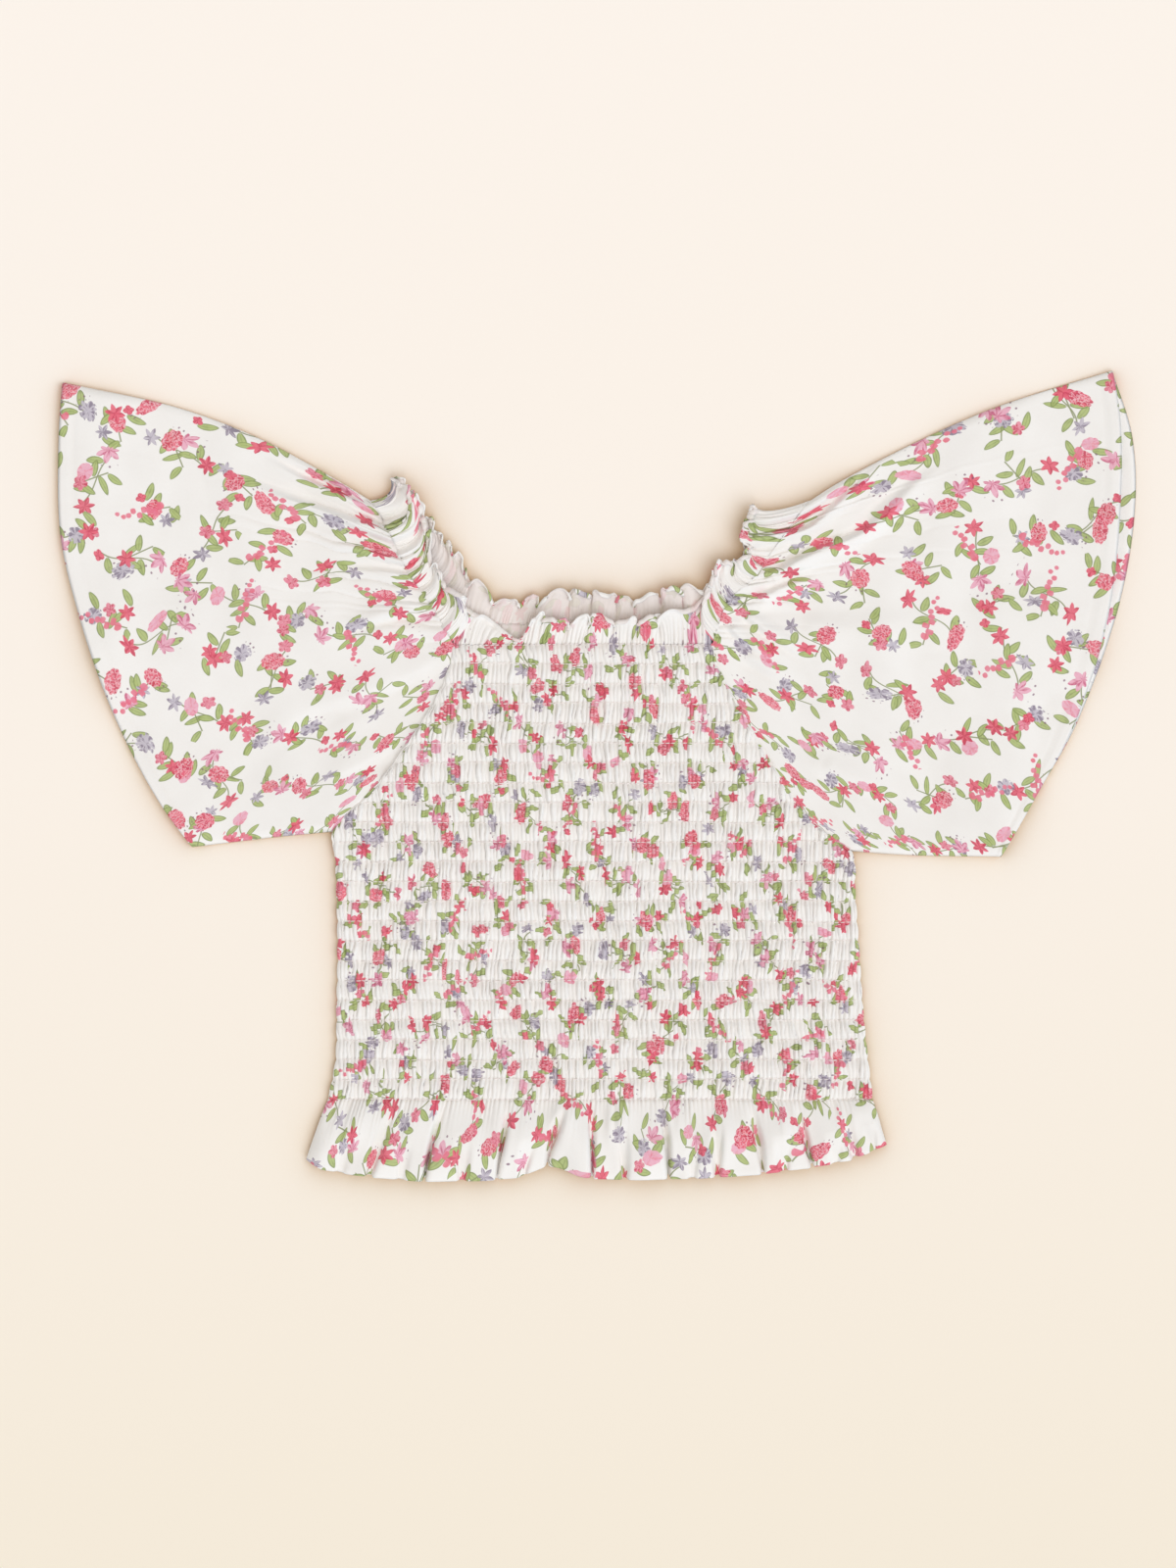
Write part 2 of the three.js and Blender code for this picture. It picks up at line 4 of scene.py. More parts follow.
import bpy
import numpy as np
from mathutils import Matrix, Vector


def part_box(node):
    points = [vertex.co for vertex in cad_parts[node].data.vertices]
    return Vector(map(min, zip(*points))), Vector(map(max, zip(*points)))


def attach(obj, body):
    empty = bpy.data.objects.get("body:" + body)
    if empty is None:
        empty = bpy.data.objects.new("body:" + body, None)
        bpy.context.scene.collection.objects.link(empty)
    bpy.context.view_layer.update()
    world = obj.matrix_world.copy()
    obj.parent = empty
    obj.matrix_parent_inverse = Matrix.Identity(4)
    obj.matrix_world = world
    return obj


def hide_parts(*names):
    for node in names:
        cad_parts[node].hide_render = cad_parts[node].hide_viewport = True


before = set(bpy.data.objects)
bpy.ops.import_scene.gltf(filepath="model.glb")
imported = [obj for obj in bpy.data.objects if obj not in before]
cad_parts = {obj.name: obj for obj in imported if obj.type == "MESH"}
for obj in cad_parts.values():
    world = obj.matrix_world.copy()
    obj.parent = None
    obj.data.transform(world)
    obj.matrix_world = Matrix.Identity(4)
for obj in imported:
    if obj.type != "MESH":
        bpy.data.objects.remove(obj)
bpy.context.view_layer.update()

# A shirred crop top with flutter sleeves, laid flat: its puckers, folds, frills, sewing and printed cloth.
# Tables and sizes are in millimetres in the layout of the solids. Rows run down or outward, columns across.
# The cloth coordinates of a piece are places on the flat printed cloth, also in millimetres.

# ---------- Sizes ----------

MM = 0.001
TURN = 2 * math.pi

ROWS = 24  # rows of elastic thread on each panel
ROW_PITCH = 10.07
FRONT_NECK_ROW = 66.3
BACK_NECK_ROW = 77.0
HEM_ROW = FRONT_NECK_ROW - (ROWS - 1) * ROW_PITCH
SHIRRING = 1.8  # flat cloth for each length of gathered cloth
BAND_CLOTH = 1.2  # the same, up and down the bands that bulge between the rows

FRONT_SEED = 11
FRONT_BASE = 2.9  # height of the front's creases over the table
FRONT_ROLL = 0.4  # how far that rises and falls over the body
FRONT_BULGE = 0.45
PUCKER_PITCH = 2.15
PUCKER_RISE = 3.3
PUCKER_SHOWS = 0.4  # the part of a pucker's cloth that shows on its crest
PUCKER_SLIP = 3.2  # how much flat cloth a pucker may have more of than the next one
SIDE_HEIGHT = 2.4
SEAM_HEIGHT = 4.3  # height of the raglan seams
SEAM_END = (-45, 15)  # where up the panel's side the raglan seam begins, and how soon it is at full height
TUCK = 0.6  # how far a ruffle's root reaches in under the row that it grows from
SIDE_ROUND = 3.0
BAND_SPREAD = 0.7  # how far a band stands out past its rows at the panel's sides

BACK_SEED = 71
BACK_LEVEL = 1.75  # height of the outside of the back's creases, from which its puckers are pressed down
BACK_RISE = 1.5
BACK_BULGE = 0.2
BACK_LEAST = 0.1
BACK_THICK = 0.8
BACK_TOP = 2.3
BACK_SIDE = 0.8  # height of its outside along the folded sides

HEM_CLOTH = 38.0  # flat cloth from the last row to the hem
HEM_BASE = 2.0
HEM_LEAST = 1.6
HEM_SWELL = 7.4
HEM_GATHERS = 2.6
HEM_BROAD = 0.6  # height of the broader gathers a little below the last row
HEM_LIP = 0.5  # how far the hem's edge turns down
HEM_LIFT = 2.2  # how far a fold draws the hem up
FOLD_DEPTH = 4.4  # the depth at which a fold takes up the whole height of the ruffle
FOLD_CLOTH = 2.2  # cloth hidden in a fold for each millimetre of its depth
TURNED_UNDER = 0.9  # how far below the outside a turned hem's inside lies

SLEEVE_LOW = 0.35
SLEEVE_FOLD = 1.1  # height of a folded edge
SLEEVE_TOP = 2.3  # least height of the upper layer
SLEEVE_FILL = 0.6  # how far the upper layer of a sleeve stands over that where nothing raises it
FOLD_ROUND = 5.0
RAGLAN_SHARE = 0.4  # the part of a sleeve's inner edge that lies along the raglan seam
RAGLAN_RISE = 1.6
GATHER_RISE = 2.8
RISE_REACH = 45  # how far out over the sleeve it sinks from those heights
GATHER_TURNS = 13  # gathers along a sleeve's elastic
GATHER_DEPTH = 3.4
GATHER_SPREAD = (62, 48)  # how far the flat cloth spreads out along the gathers, and how far out from them
GATHER_HIDES = 2.6  # flat cloth hidden in the side of a gather
CREASE_DEPTH = 1.3
TROUGH_DEPTH = 0.42
HEM_WAVE = 0.9  # height of the waves toward a sleeve's hem
FRILL_CLOTH = 16.0  # flat cloth from a sleeve's elastic to the rim of its frill
NECK_CLOTH = 15.0  # the same on the panels
SLEEVE_HEM = 7.0

# Where on the print each piece is cut, so that no two show the same part. The front is cut at its start.
BACK_CUT = (900, 0)
SLEEVE_CUTS = {"left": (3100, 0), "right": (1500, 0)}
SLEEVE_BACK_CUT = (700, 300)


def named(columns, *rows):
    """The rows of a table, each by the names of its columns."""
    return [dict(zip(columns.split(), row)) for row in rows]


BODY_EDGES = {
    "y": (-166, -145, -120, -90, -60, -40, -32, -22, -6, 16, 36, 54, 68, 90),
    "left": (-137.5, -133.5, -133, -132.5, -133, -134, -135.5, -130, -113.5, -97, -84, -76, -73.5, -71),
    "right": (139.5, 137, 134.5, 132.5, 130.5, 129, 119, 107, 95.5, 82, 71, 61, 57.5, 55),
}

# Free edges of the neck frills. turn counts their waves along the edge, and swell says how full these are.
NECK_FRILL_FRONT = {
    "x": (-67.8, -56, -45, -39, -33, -27, -21, -10, 2, 14, 26, 36, 46, 56.3),
    "y": (84, 77, 69, 69, 77, 80, 76, 77, 78, 76.5, 78, 79.5, 84, 91),
    "turn": (0, 0.2, 0.55, 1, 1.4, 2, 2.5, 3.45, 4.5, 5.45, 6.5, 7.4, 7.9, 8.2),
    "swell": (0.1, 0.15, 0.3, 0.7, 0.6, 1.25, 0.8, 0.7, 0.9, 0.75, 0.9, 1.0, 0.4, 0.2),
}
NECK_FRILL_BACK = {
    "x": (-66.8, -60, -50, -40, -30, -20, -8, 0, 10, 18, 34, 44, 53.8),
    "y": (98, 93, 87, 87, 88.5, 90, 91, 90, 88.5, 87, 91.5, 92, 92.5),
    "turn": (0, 0.5, 1.2, 2, 3, 3.6, 4.6, 5.3, 6.1, 7, 8.2, 9.2, 10),
    "swell": (0.4, 0.7, 0.6, 0.5, 0.8, 1, 0.8, 1.1, 0.8, 0.7, 1.2, 0.9, 0.8),
}
HEM_EDGE = {
    "x": (-149, -140, -113, -85, -40, -25, -7, 30, 76, 104, 128, 147),
    "y": (-196, -201, -205, -207, -205, -199, -205, -206, -204, -200.5, -196, -188.5),
}
# Folds of the hem ruffle: where they reach the hem, how deep and wide they are, how far up they run, and how
# far they lean aside on the way.
HEM_FOLDS = {
    "x": (-132, -116, -101, -88, -70, -51, -38, -25, -4, 13, 35, 48, 61, 83, 95, 108, 121, 130, 140),
    "depth": (1.6, 3, 1.6, 5, 2, 5.2, 2, 5.6, 5, 2.6, 5, 1.8, 3, 4.4, 1.8, 5, 1.6, 2.6, 1.4),
    "width": (4, 4, 3.5, 2.6, 4, 2.6, 3.5, 3.6, 2.6, 3.2, 2.8, 3.5, 3.4, 3.2, 4, 2.8, 3.5, 3.4, 3),
    "run": (0.5, 0.8, 0.5, 1, 0.6, 1, 0.5, 0.85, 1, 0.7, 1, 0.5, 0.8, 1, 0.5, 0.95, 0.5, 0.7, 0.5),
    "lean": (-4, 3, -2, 2, -3, 2, 3, 5, -2, -3, -2, 3, 2, -3, 2, -4, 2, -3, 2),
}

# Sleeve edges in plan, listed up or outward. Creases are the folds that show most: how high the ridge stands,
# how wide it is, on which side of its route its steep trough lies, and the route.
SLEEVES = {
    "left": {
        "outward": -1,
        "grain": 24,
        "gather_front": ((-74.2, 67), (-84, 84), (-97, 103), (-106, 122), (-115, 139)),
        "gather_back": ((-73.2, 77.5), (-82, 96), (-95, 116), (-115, 139)),
        "frill_front": ((-68, 86), (-80, 97), (-87, 115), (-91, 131), (-104, 150)),
        "frill_back": ((-67, 99.5), (-71, 108), (-78, 116), (-86, 128), (-103, 150)),
        "top_fold": ((-115, 139), (-133, 150), (-172, 171), (-214, 187), (-273, 200)),
        "underarm": ((-136, -29), (-165, -32), (-207, -37)),
        "hem_front": (
            (-207, -37), (-223, -15), (-245, 26), (-265, 83), (-274, 122), (-275, 168), (-273, 200),
        ),
        "hem_back": (
            (-207, -37), (-222, -15), (-243, 26), (-263, 83), (-272, 122), (-273, 168), (-273, 200),
        ),
        "creases": named(
            "height width side route",
            (3.4, 3.2, -1, ((-95, 122), (-121, 127), (-154, 138), (-183, 149))),
            (2.6, 2.4, -1, ((-104, 133), (-119, 137), (-151, 150), (-170, 161))),
            (2.8, 2.2, 1, ((-100, 118), (-112, 122), (-140, 134), (-172, 144))),
            (2.4, 3.6, 1, ((-79, 87), (-107, 82), (-135, 73))),
            (1.6, 7, 1, ((-77, 62), (-112, 45), (-147, 34), (-185, 8))),
            (2.2, 2.8, -1, ((-88, 98), (-106, 102), (-132, 104))),
            (2.4, 2.4, -1, ((-92, 108), (-110, 112), (-136, 119))),
            (1.2, 5, 1, ((-104, 16), (-122, 6), (-140, -2))),
            (2.4, 2.2, 1, ((-118, 141), (-140, 152), (-162, 163))),
        ),
    },
    "right": {
        "outward": 1,
        "grain": -31,
        "gather_front": ((58.2, 67), (66, 88), (78, 99), (88, 113), (107, 139)),
        "gather_back": ((57, 77.5), (66, 97), (84, 115), (107, 139)),
        "frill_front": ((56.5, 92), (62, 105), (76, 109), (77, 124), (80, 136)),
        "frill_back": ((54, 93.5), (60, 102), (73, 108), (76, 124), (80, 136)),
        "top_fold": ((107, 139), (121, 148), (159, 168), (202, 187), (262, 206)),
        "underarm": ((129.5, -39), (156, -41), (205, -42)),
        "hem_front": ((205, -42), (223, -11), (242, 24), (260, 83), (266, 141), (266, 178), (262, 206)),
        "hem_back": ((205, -42), (223, -11), (243, 24), (266, 88), (274, 140), (272, 174), (262, 206)),
        "creases": named(
            "height width side route",
            (3.6, 3, 1, ((88, 101), (112, 113), (130, 120), (145, 130), (166, 152))),
            (3, 2.4, 1, ((82, 121), (105, 124), (123, 138), (147, 161))),
            (1.8, 4, 1, ((136, 125), (156, 143), (176, 156))),
            (2.4, 2.8, 1, ((80, 88), (95, 95), (112, 100))),
            (2.4, 3, -1, ((73, 83), (91, 70), (108, 59))),
            (2, 2.4, -1, ((66, 76), (76, 67), (90, 60))),
            (1.4, 4, -1, ((74, 62), (90, 53), (106, 45))),
            (2.6, 2.2, -1, ((98, 130), (116, 141), (134, 154))),
            (1, 9, 1, ((100, 76), (135, 74), (170, 80))),
            (1.2, 5, -1, ((112, 6), (134, -4), (152, -14))),
        ),
    },
}

# ---------- Small tools ----------


def smooth(table, name, at, along="x"):
    """One column of a table, read smoothly along another, as the solids read theirs."""
    places = np.asarray(table[along], float)
    values = np.asarray(table[name], float)
    last = len(places) - 1
    before = np.maximum(np.arange(last + 1) - 1, 0)
    after = np.minimum(np.arange(last + 1) + 1, last)
    slopes = (values[after] - values[before]) / (places[after] - places[before])
    row = np.clip(np.searchsorted(places, at) - 1, 0, last - 1)
    span = places[row + 1] - places[row]
    u = np.clip((at - places[row]) / span, 0, 1)
    rise = u * u * (3 - 2 * u)
    turns = u * (1 - u) ** 2 * slopes[row] - u * u * (1 - u) * slopes[row + 1]
    return values[row] + (values[row + 1] - values[row]) * rise + span * turns


def body_edge(side, y):
    return smooth(BODY_EDGES, side, y, along="y")


def mix(start, end, share):
    return start + (end - start) * share


def across_body(y, share):
    """The place across the body at a height y, from 0 at its left side to 1 at its right."""
    return mix(body_edge("left", y), body_edge("right", y), share)


def ease(share):
    share = np.clip(share, 0, 1)
    return share * share * (3 - 2 * share)


def round_off(share):
    """A quarter of a circle, from 0 at a folded edge to 1 where the cloth lies level."""
    return np.sqrt(1 - (1 - np.clip(share, 0, 1)) ** 2)


def length(ways):
    return np.linalg.norm(ways, axis=-1)


def unit(ways, least=0.0):
    return ways / (np.linalg.norm(ways, axis=-1, keepdims=True) + least)


def stack(*values):
    return np.stack(np.broadcast_arrays(*values), axis=-1).astype(float)


def toss(seed, *counts):
    """A number from 0 to 1 drawn for each set of whole counts."""
    total = seed * 37.719
    for count, weight in zip(counts, (12.9898, 78.233, 45.164)):
        total = total + np.asarray(count, float) * weight
    return np.modf(np.abs(np.sin(total)) * 43758.5453)[0]


def drift(seed, size, *places):
    """Smooth wandering from about -1 to 1 over the places, with swings of about that size."""
    draw = np.random.default_rng(seed)
    waves = 7
    total = 0
    for _ in range(waves):
        way = draw.normal(size=len(places))
        way *= TURN * draw.uniform(0.6, 1.5) / (size * np.linalg.norm(way))
        total = total + np.sin(sum(p * w for p, w in zip(places, way)) + draw.uniform(0, TURN))
    return total * 0.8 / math.sqrt(waves)


class Path:
    """A smooth curve in plan through a few places, read by the share of its length."""

    STEPS = 60
    COARSE = 4  # steps in each straight piece that nearest looks along

    def __init__(self, places):
        places = np.array(places, float)
        ends = 2 * places[0] - places[1], 2 * places[-1] - places[-2]
        places = np.vstack([ends[0], places, ends[1]])
        spans = [self.span(places[k:k + 4]) for k in range(len(places) - 3)]
        self.places = np.vstack(spans + [places[-2:-1]])
        steps = length(np.diff(self.places, axis=0))
        self.length = steps.sum()
        self.shares = np.concatenate([[0], np.cumsum(steps)]) / self.length

    def span(self, p):
        """The stretch between the middle two of four places, by the centripetal Catmull-Rom rule."""
        before, here, after = length(np.diff(p, axis=0)) ** 0.5
        start = ((p[1] - p[0]) / before - (p[2] - p[0]) / (before + here)) * here + p[2] - p[1]
        end = ((p[3] - p[2]) / after - (p[3] - p[1]) / (here + after)) * here + p[2] - p[1]
        u = np.linspace(0, 1, self.STEPS, endpoint=False)[:, None]
        rise = u * u * (3 - 2 * u)
        return mix(p[1], p[2], rise) + u * (1 - u) ** 2 * start - u * u * (1 - u) * end

    def at(self, share):
        return np.stack([np.interp(share, self.shares, self.places[:, k]) for k in (0, 1)], axis=-1)

    def nearest(self, places):
        """How far places are left of the curve, or right if below 0, and its share where they are nearest."""
        knots = self.places[::self.COARSE]
        ways = np.diff(knots, axis=0)
        best = np.full(places.shape[:-1], np.inf)
        side = np.zeros(best.shape)
        share = np.zeros(best.shape)
        for k, (start, way) in enumerate(zip(knots, ways)):
            to = places - start
            along = np.clip(to @ way / (way @ way), 0, 1)
            distance = length(to - along[..., None] * way)
            closer = distance < best
            best = np.where(closer, distance, best)
            side = np.where(closer, np.sign(way[0] * to[..., 1] - way[1] * to[..., 0]), side)
            share = np.where(closer, (k + along) / len(ways), share)
        return best * side, share


# ---------- Meshes of cloth ----------

# From the layout of the solids to the frame, where the front panel's box starts at its lower left corner.
LOW = np.array(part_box("body_front")[0]) / MM
SHIFT = np.array([LOW[0] - body_edge("left", HEM_ROW), LOW[1] - HEM_ROW, 0])

# The bake map of a shell, from its bottom up: its rim, its outer surface and its inner one.
BAKE_RIM = 0.02
BAKE_OUTER = (0, 0.03)
BAKE_INNER = (0, 0.52)
BAKE_SIZE = (1, 0.48)


def add_object(name, data):
    thing = bpy.data.objects.new(name, data)
    bpy.context.collection.objects.link(thing)
    return thing


def add_mesh(name, points, faces, maps, slots, materials):
    """A mesh of four-sided faces. maps gives the place of each face corner in each UV map."""
    mesh = bpy.data.meshes.new(name)
    mesh.vertices.add(len(points))
    mesh.vertices.foreach_set("co", ((points + SHIFT) * MM).ravel())
    mesh.loops.add(faces.size)
    mesh.loops.foreach_set("vertex_index", faces.ravel())
    mesh.polygons.add(len(faces))
    mesh.polygons.foreach_set("loop_start", np.arange(0, faces.size, 4))
    mesh.polygons.foreach_set("material_index", slots)
    mesh.polygons.foreach_set("use_smooth", np.full(len(faces), True))
    for map_name, places in maps.items():
        mesh.uv_layers.new(name=map_name).data.foreach_set("uv", places.ravel())
    for material in materials:
        mesh.materials.append(material)
    mesh.update(calc_edges=True)
    mesh.validate()
    return add_object(name, mesh)


def grid_corners(rows, columns, loop=False):
    """The row and the column of each corner of the faces of a grid."""
    row, column = np.meshgrid(np.arange(rows - 1), np.arange(columns - (not loop)), indexing="ij")
    corner_rows = np.stack([row, row, row + 1, row + 1], axis=-1).reshape(-1, 4)
    corner_columns = np.stack([column, column + 1, column + 1, column], axis=-1).reshape(-1, 4)
    return corner_rows, corner_columns


def encloses(points, faces):
    """The volume inside faces, which is above 0 if they look outward."""
    a, b, c, d = (points[faces[:, k]] for k in range(4))
    return np.einsum("ij,ij->", a, np.cross(b, c) + np.cross(c, d))


def turned_over(faces, maps):
    return faces[:, ::-1], {name: places[:, ::-1] for name, places in maps.items()}


def add_sheet(name, points, cloth, material, loop=False):
    """One surface of cloth over rows and columns of points.

    A loop closes round its columns, and has one more column of cloth than of points.
    """
    rows, columns = points.shape[:2]
    corner_rows, corner_columns = grid_corners(rows, columns, loop)
    faces = corner_rows * columns + corner_columns % columns
    across = columns if loop else columns - 1
    maps = {
        "cloth": cloth[corner_rows, corner_columns],
        "OFBake": np.stack([corner_columns / across, corner_rows / (rows - 1)], axis=-1),
    }
    flat = points.reshape(-1, 3)
    if loop:
        inward = encloses(flat - flat.mean(axis=0), faces) < 0
    else:
        normals = np.cross(flat[faces[:, 1]] - flat[faces[:, 0]], flat[faces[:, 3]] - flat[faces[:, 0]])
        inward = normals[:, 2].sum() < 0
    if inward:
        faces, maps = turned_over(faces, maps)
    return add_mesh(name, flat, faces, maps, np.zeros(len(faces), int), [material])


def add_shell(name, outer, inner, cloth, materials):
    """Two surfaces of cloth over the same rows and columns, joined all round, with a material for each."""
    rows, columns = outer.shape[:2]
    count = rows * columns
    corner_rows, corner_columns = grid_corners(rows, columns)
    outside = corner_rows * columns + corner_columns
    top = [(0, c) for c in range(columns)]
    right = [(r, columns - 1) for r in range(1, rows)]
    bottom = [(rows - 1, c) for c in range(columns - 2, -1, -1)]
    left = [(r, 0) for r in range(rows - 2, -1, -1)]
    border = np.array(top + right + bottom + left)
    here, onward = border[:-1], border[1:]
    here_vertex = here @ [columns, 1]
    onward_vertex = onward @ [columns, 1]
    rim = np.stack([onward_vertex, here_vertex, here_vertex + count, onward_vertex + count], axis=-1)
    faces = np.concatenate([outside, outside[:, ::-1] + count, rim])

    on_cloth = cloth[corner_rows, corner_columns]
    rim_cloth = np.stack([cloth[tuple(p.T)] for p in (onward, here, here, onward)], axis=1)
    place = np.stack([corner_columns / (columns - 1), corner_rows / (rows - 1)], axis=-1)
    start = np.arange(len(rim)) / len(rim)
    end = start + 1 / len(rim)
    rim_corners = ((end, 0), (start, 0), (start, BAKE_RIM), (end, BAKE_RIM))
    rim_place = np.stack([stack(*corner) for corner in rim_corners], axis=1)
    maps = {
        "cloth": np.concatenate([on_cloth, on_cloth[:, ::-1], rim_cloth]),
        "OFBake": np.concatenate([
            place * BAKE_SIZE + BAKE_OUTER, place[:, ::-1] * BAKE_SIZE + BAKE_INNER, rim_place,
        ]),
    }
    points = np.concatenate([outer.reshape(-1, 3), inner.reshape(-1, 3)])
    if encloses(points - points.mean(axis=0), faces) < 0:
        faces, maps = turned_over(faces, maps)
    slots = np.repeat([0, 1, 0], [len(outside), len(outside), len(rim)])
    return add_mesh(name, points, faces, maps, slots, materials)


def across_cloth(points):
    """The unit way across a grid of points, upward on the whole."""
    ways = unit(np.cross(np.gradient(points, axis=1), np.gradient(points, axis=0)), 1e-12)
    return ways * np.sign(ways[..., 2].sum())


# ---------- The shirred panels ----------


def row_phase(row, x, seed):
    """Puckers counted along a row of elastic. Each row has its own places, near those of its neighbours."""
    y = FRONT_NECK_ROW - row * ROW_PITCH
    crowding = 0.6 * drift(seed, 75, x, y)
    wander = 0.26 * drift(seed + 1, 12, x, row * 100.0)
    return x / PUCKER_PITCH + crowding + wander + 0.55 * toss(seed + 2, row)


def puckers(x, band, seed):
    """Cloth between rows of elastic: how full its band is, its pucker's strength, how far across that it is,
    the crest's height over the creases from 0 to 1, and how far the pucker's cloth has slipped.
    """
    upper = np.clip(np.floor(band), 0, ROWS - 2)
    down = band - upper
    grown = np.sin(math.pi * np.clip(down, 0, 1)) ** 0.5
    phase = mix(row_phase(upper, x, seed), row_phase(upper + 1, x, seed), down)
    phase = phase + 0.22 * grown * drift(seed + 7, 9, x, band * ROW_PITCH)
    count = np.floor(phase)
    across = phase - count
    strength = mix(0.5, 1.2, toss(seed + 3, count, upper))
    deep = mix(toss(seed + 4, count, upper), toss(seed + 4, count + 1, upper), ease(across))
    joined = toss(seed + 8, count, upper) < 0.4  # only shallow creases part it from those beside it
    deep = mix(0.5, 1.15, deep) * (1 - 0.6 * grown * joined)
    crest = 1 - (1 - np.sin(math.pi * across) ** 0.55) * deep
    slips = stack(toss(seed + 5, count, upper), toss(seed + 6, count, upper)) - 0.5
    return grown, strength, across, crest, slips * grown[..., None]


def front_height(x, band):
    y = FRONT_NECK_ROW - band * ROW_PITCH
    grown, strength, _, crest, _ = puckers(x, band, FRONT_SEED)
    level = FRONT_BASE + FRONT_ROLL * drift(5, 110, x, y)
    return level + FRONT_BULGE * grown + PUCKER_RISE * strength * crest * mix(0.5, 1, grown)


def row_sway(x, row):
    """How far a row of elastic strays from its straight line."""
    return 0.5 * drift(8, 60, x, row * 30.0)


def shirred_cloth(x, y, strength, across, slips):
    """Where on the flat cloth a place is. Little of a pucker's cloth shows, and the rest lies in creases."""
    hidden = (0.5 - across) * (1 - PUCKER_SHOWS) * np.clip(strength + 0.2, 0, 1.2)
    return stack(SHIRRING * (x + PUCKER_PITCH * hidden), BAND_CLOTH * y) + slips * PUCKER_SLIP


def straight_columns(left, right, columns):
    """Columns that run straight down a panel, and crowd together where its sides cut across them."""
    crowd = 4.0  # how far in from a side they do so
    x = np.linspace(left.min(), right.max(), columns)[None, :] + 0 * left
    for side, inward in ((left, 1), (right, -1)):
        inside = (x - side) * inward
        reach = crowd ** 2 / (2 * crowd - np.minimum(inside, crowd))
        least = reach.min(axis=1, keepdims=True)
        crowded = side + inward * (reach - least) * crowd / (crowd - least)
        x = np.where(inside < crowd, crowded, x)
    return x


def front_panel(material):
    columns, steps = 710, 6
    band = np.linspace(0, ROWS - 1, (ROWS - 1) * steps + 1)[:, None]
    y = FRONT_NECK_ROW - band * ROW_PITCH
    between = np.sin(math.pi * (band % 1)) ** 0.7
    left = body_edge("left", y) - BAND_SPREAD * between
    right = body_edge("right", y) + BAND_SPREAD * between
    x = straight_columns(left, right, columns)
    height = front_height(x, band)
    side = round_off(np.minimum(x - left, right - x) / SIDE_ROUND)
    on_seam = ease((y - SEAM_END[0]) / SEAM_END[1])
    edge_height = mix(SIDE_HEIGHT, SEAM_HEIGHT, on_seam)
    points = stack(x, y + side * row_sway(x, band), mix(edge_height, height, side))
    _, strength, across, _, slips = puckers(x, band, FRONT_SEED)
    return add_sheet("front_panel", points, shirred_cloth(x, y, strength, across, slips), material)


def back_panel(outside, inside):
    """Its puckers are broader than the front's, and are pressed down on the table with their crests below."""
    columns, steps = 330, 5
    band = np.linspace(0, ROWS - 1, (ROWS - 1) * steps + 1)[:, None]
    y = mix(BACK_NECK_ROW, HEM_ROW, band / (ROWS - 1))
    left = body_edge("left", y)
    right = body_edge("right", y)
    x = mix(left, right, np.linspace(0, 1, columns)[None, :])
    grown, strength, across, crest, slips = puckers(x * 0.6, band, BACK_SEED)
    pressed = np.maximum(BACK_LEAST, BACK_LEVEL - BACK_RISE * strength * crest - BACK_BULGE * grown)
    gathered = np.minimum(pressed + BACK_THICK, BACK_TOP) + BACK_BULGE * grown
    side = round_off(np.minimum(x - left, right - x) / 2)
    cloth = shirred_cloth(x, y, strength, across, slips) * (-1, 1) + BACK_CUT
    outer = stack(x, y, mix(BACK_SIDE, pressed, side))
    inner = stack(x, y, mix(SIDE_HEIGHT - 0.2, gathered, side))
    return add_shell("back_panel", outer, inner, cloth, [outside, inside])


# ---------- Frills ----------

ROLL_START = 0.8  # where a frill's rim starts to roll, on the way out from 0 to 1
ROLL_TURNS = (0.15, 0.72)  # how far round the rim rolls, in turns, at the least and the most
FRILL_OUT = np.concatenate([np.linspace(0, ROLL_START, 15), np.linspace(ROLL_START, 1, 13)[1:]])[:, None]
FRILL_THICK = 0.6
RIM_THICK = 0.3  # what the turned rim adds to that
FINE_RISE = 0.35  # height of the fine gathers at a frill's root
CRIMP_RISE = 1.4  # how far a crimp stands up for each millimetre that it goes outward
UNDER_ROW = 0.3  # how far under its row or seam a piece's edge lies
FRILL_LEAST = (0.05, 0.15)  # the least height of its inner and its outer surface


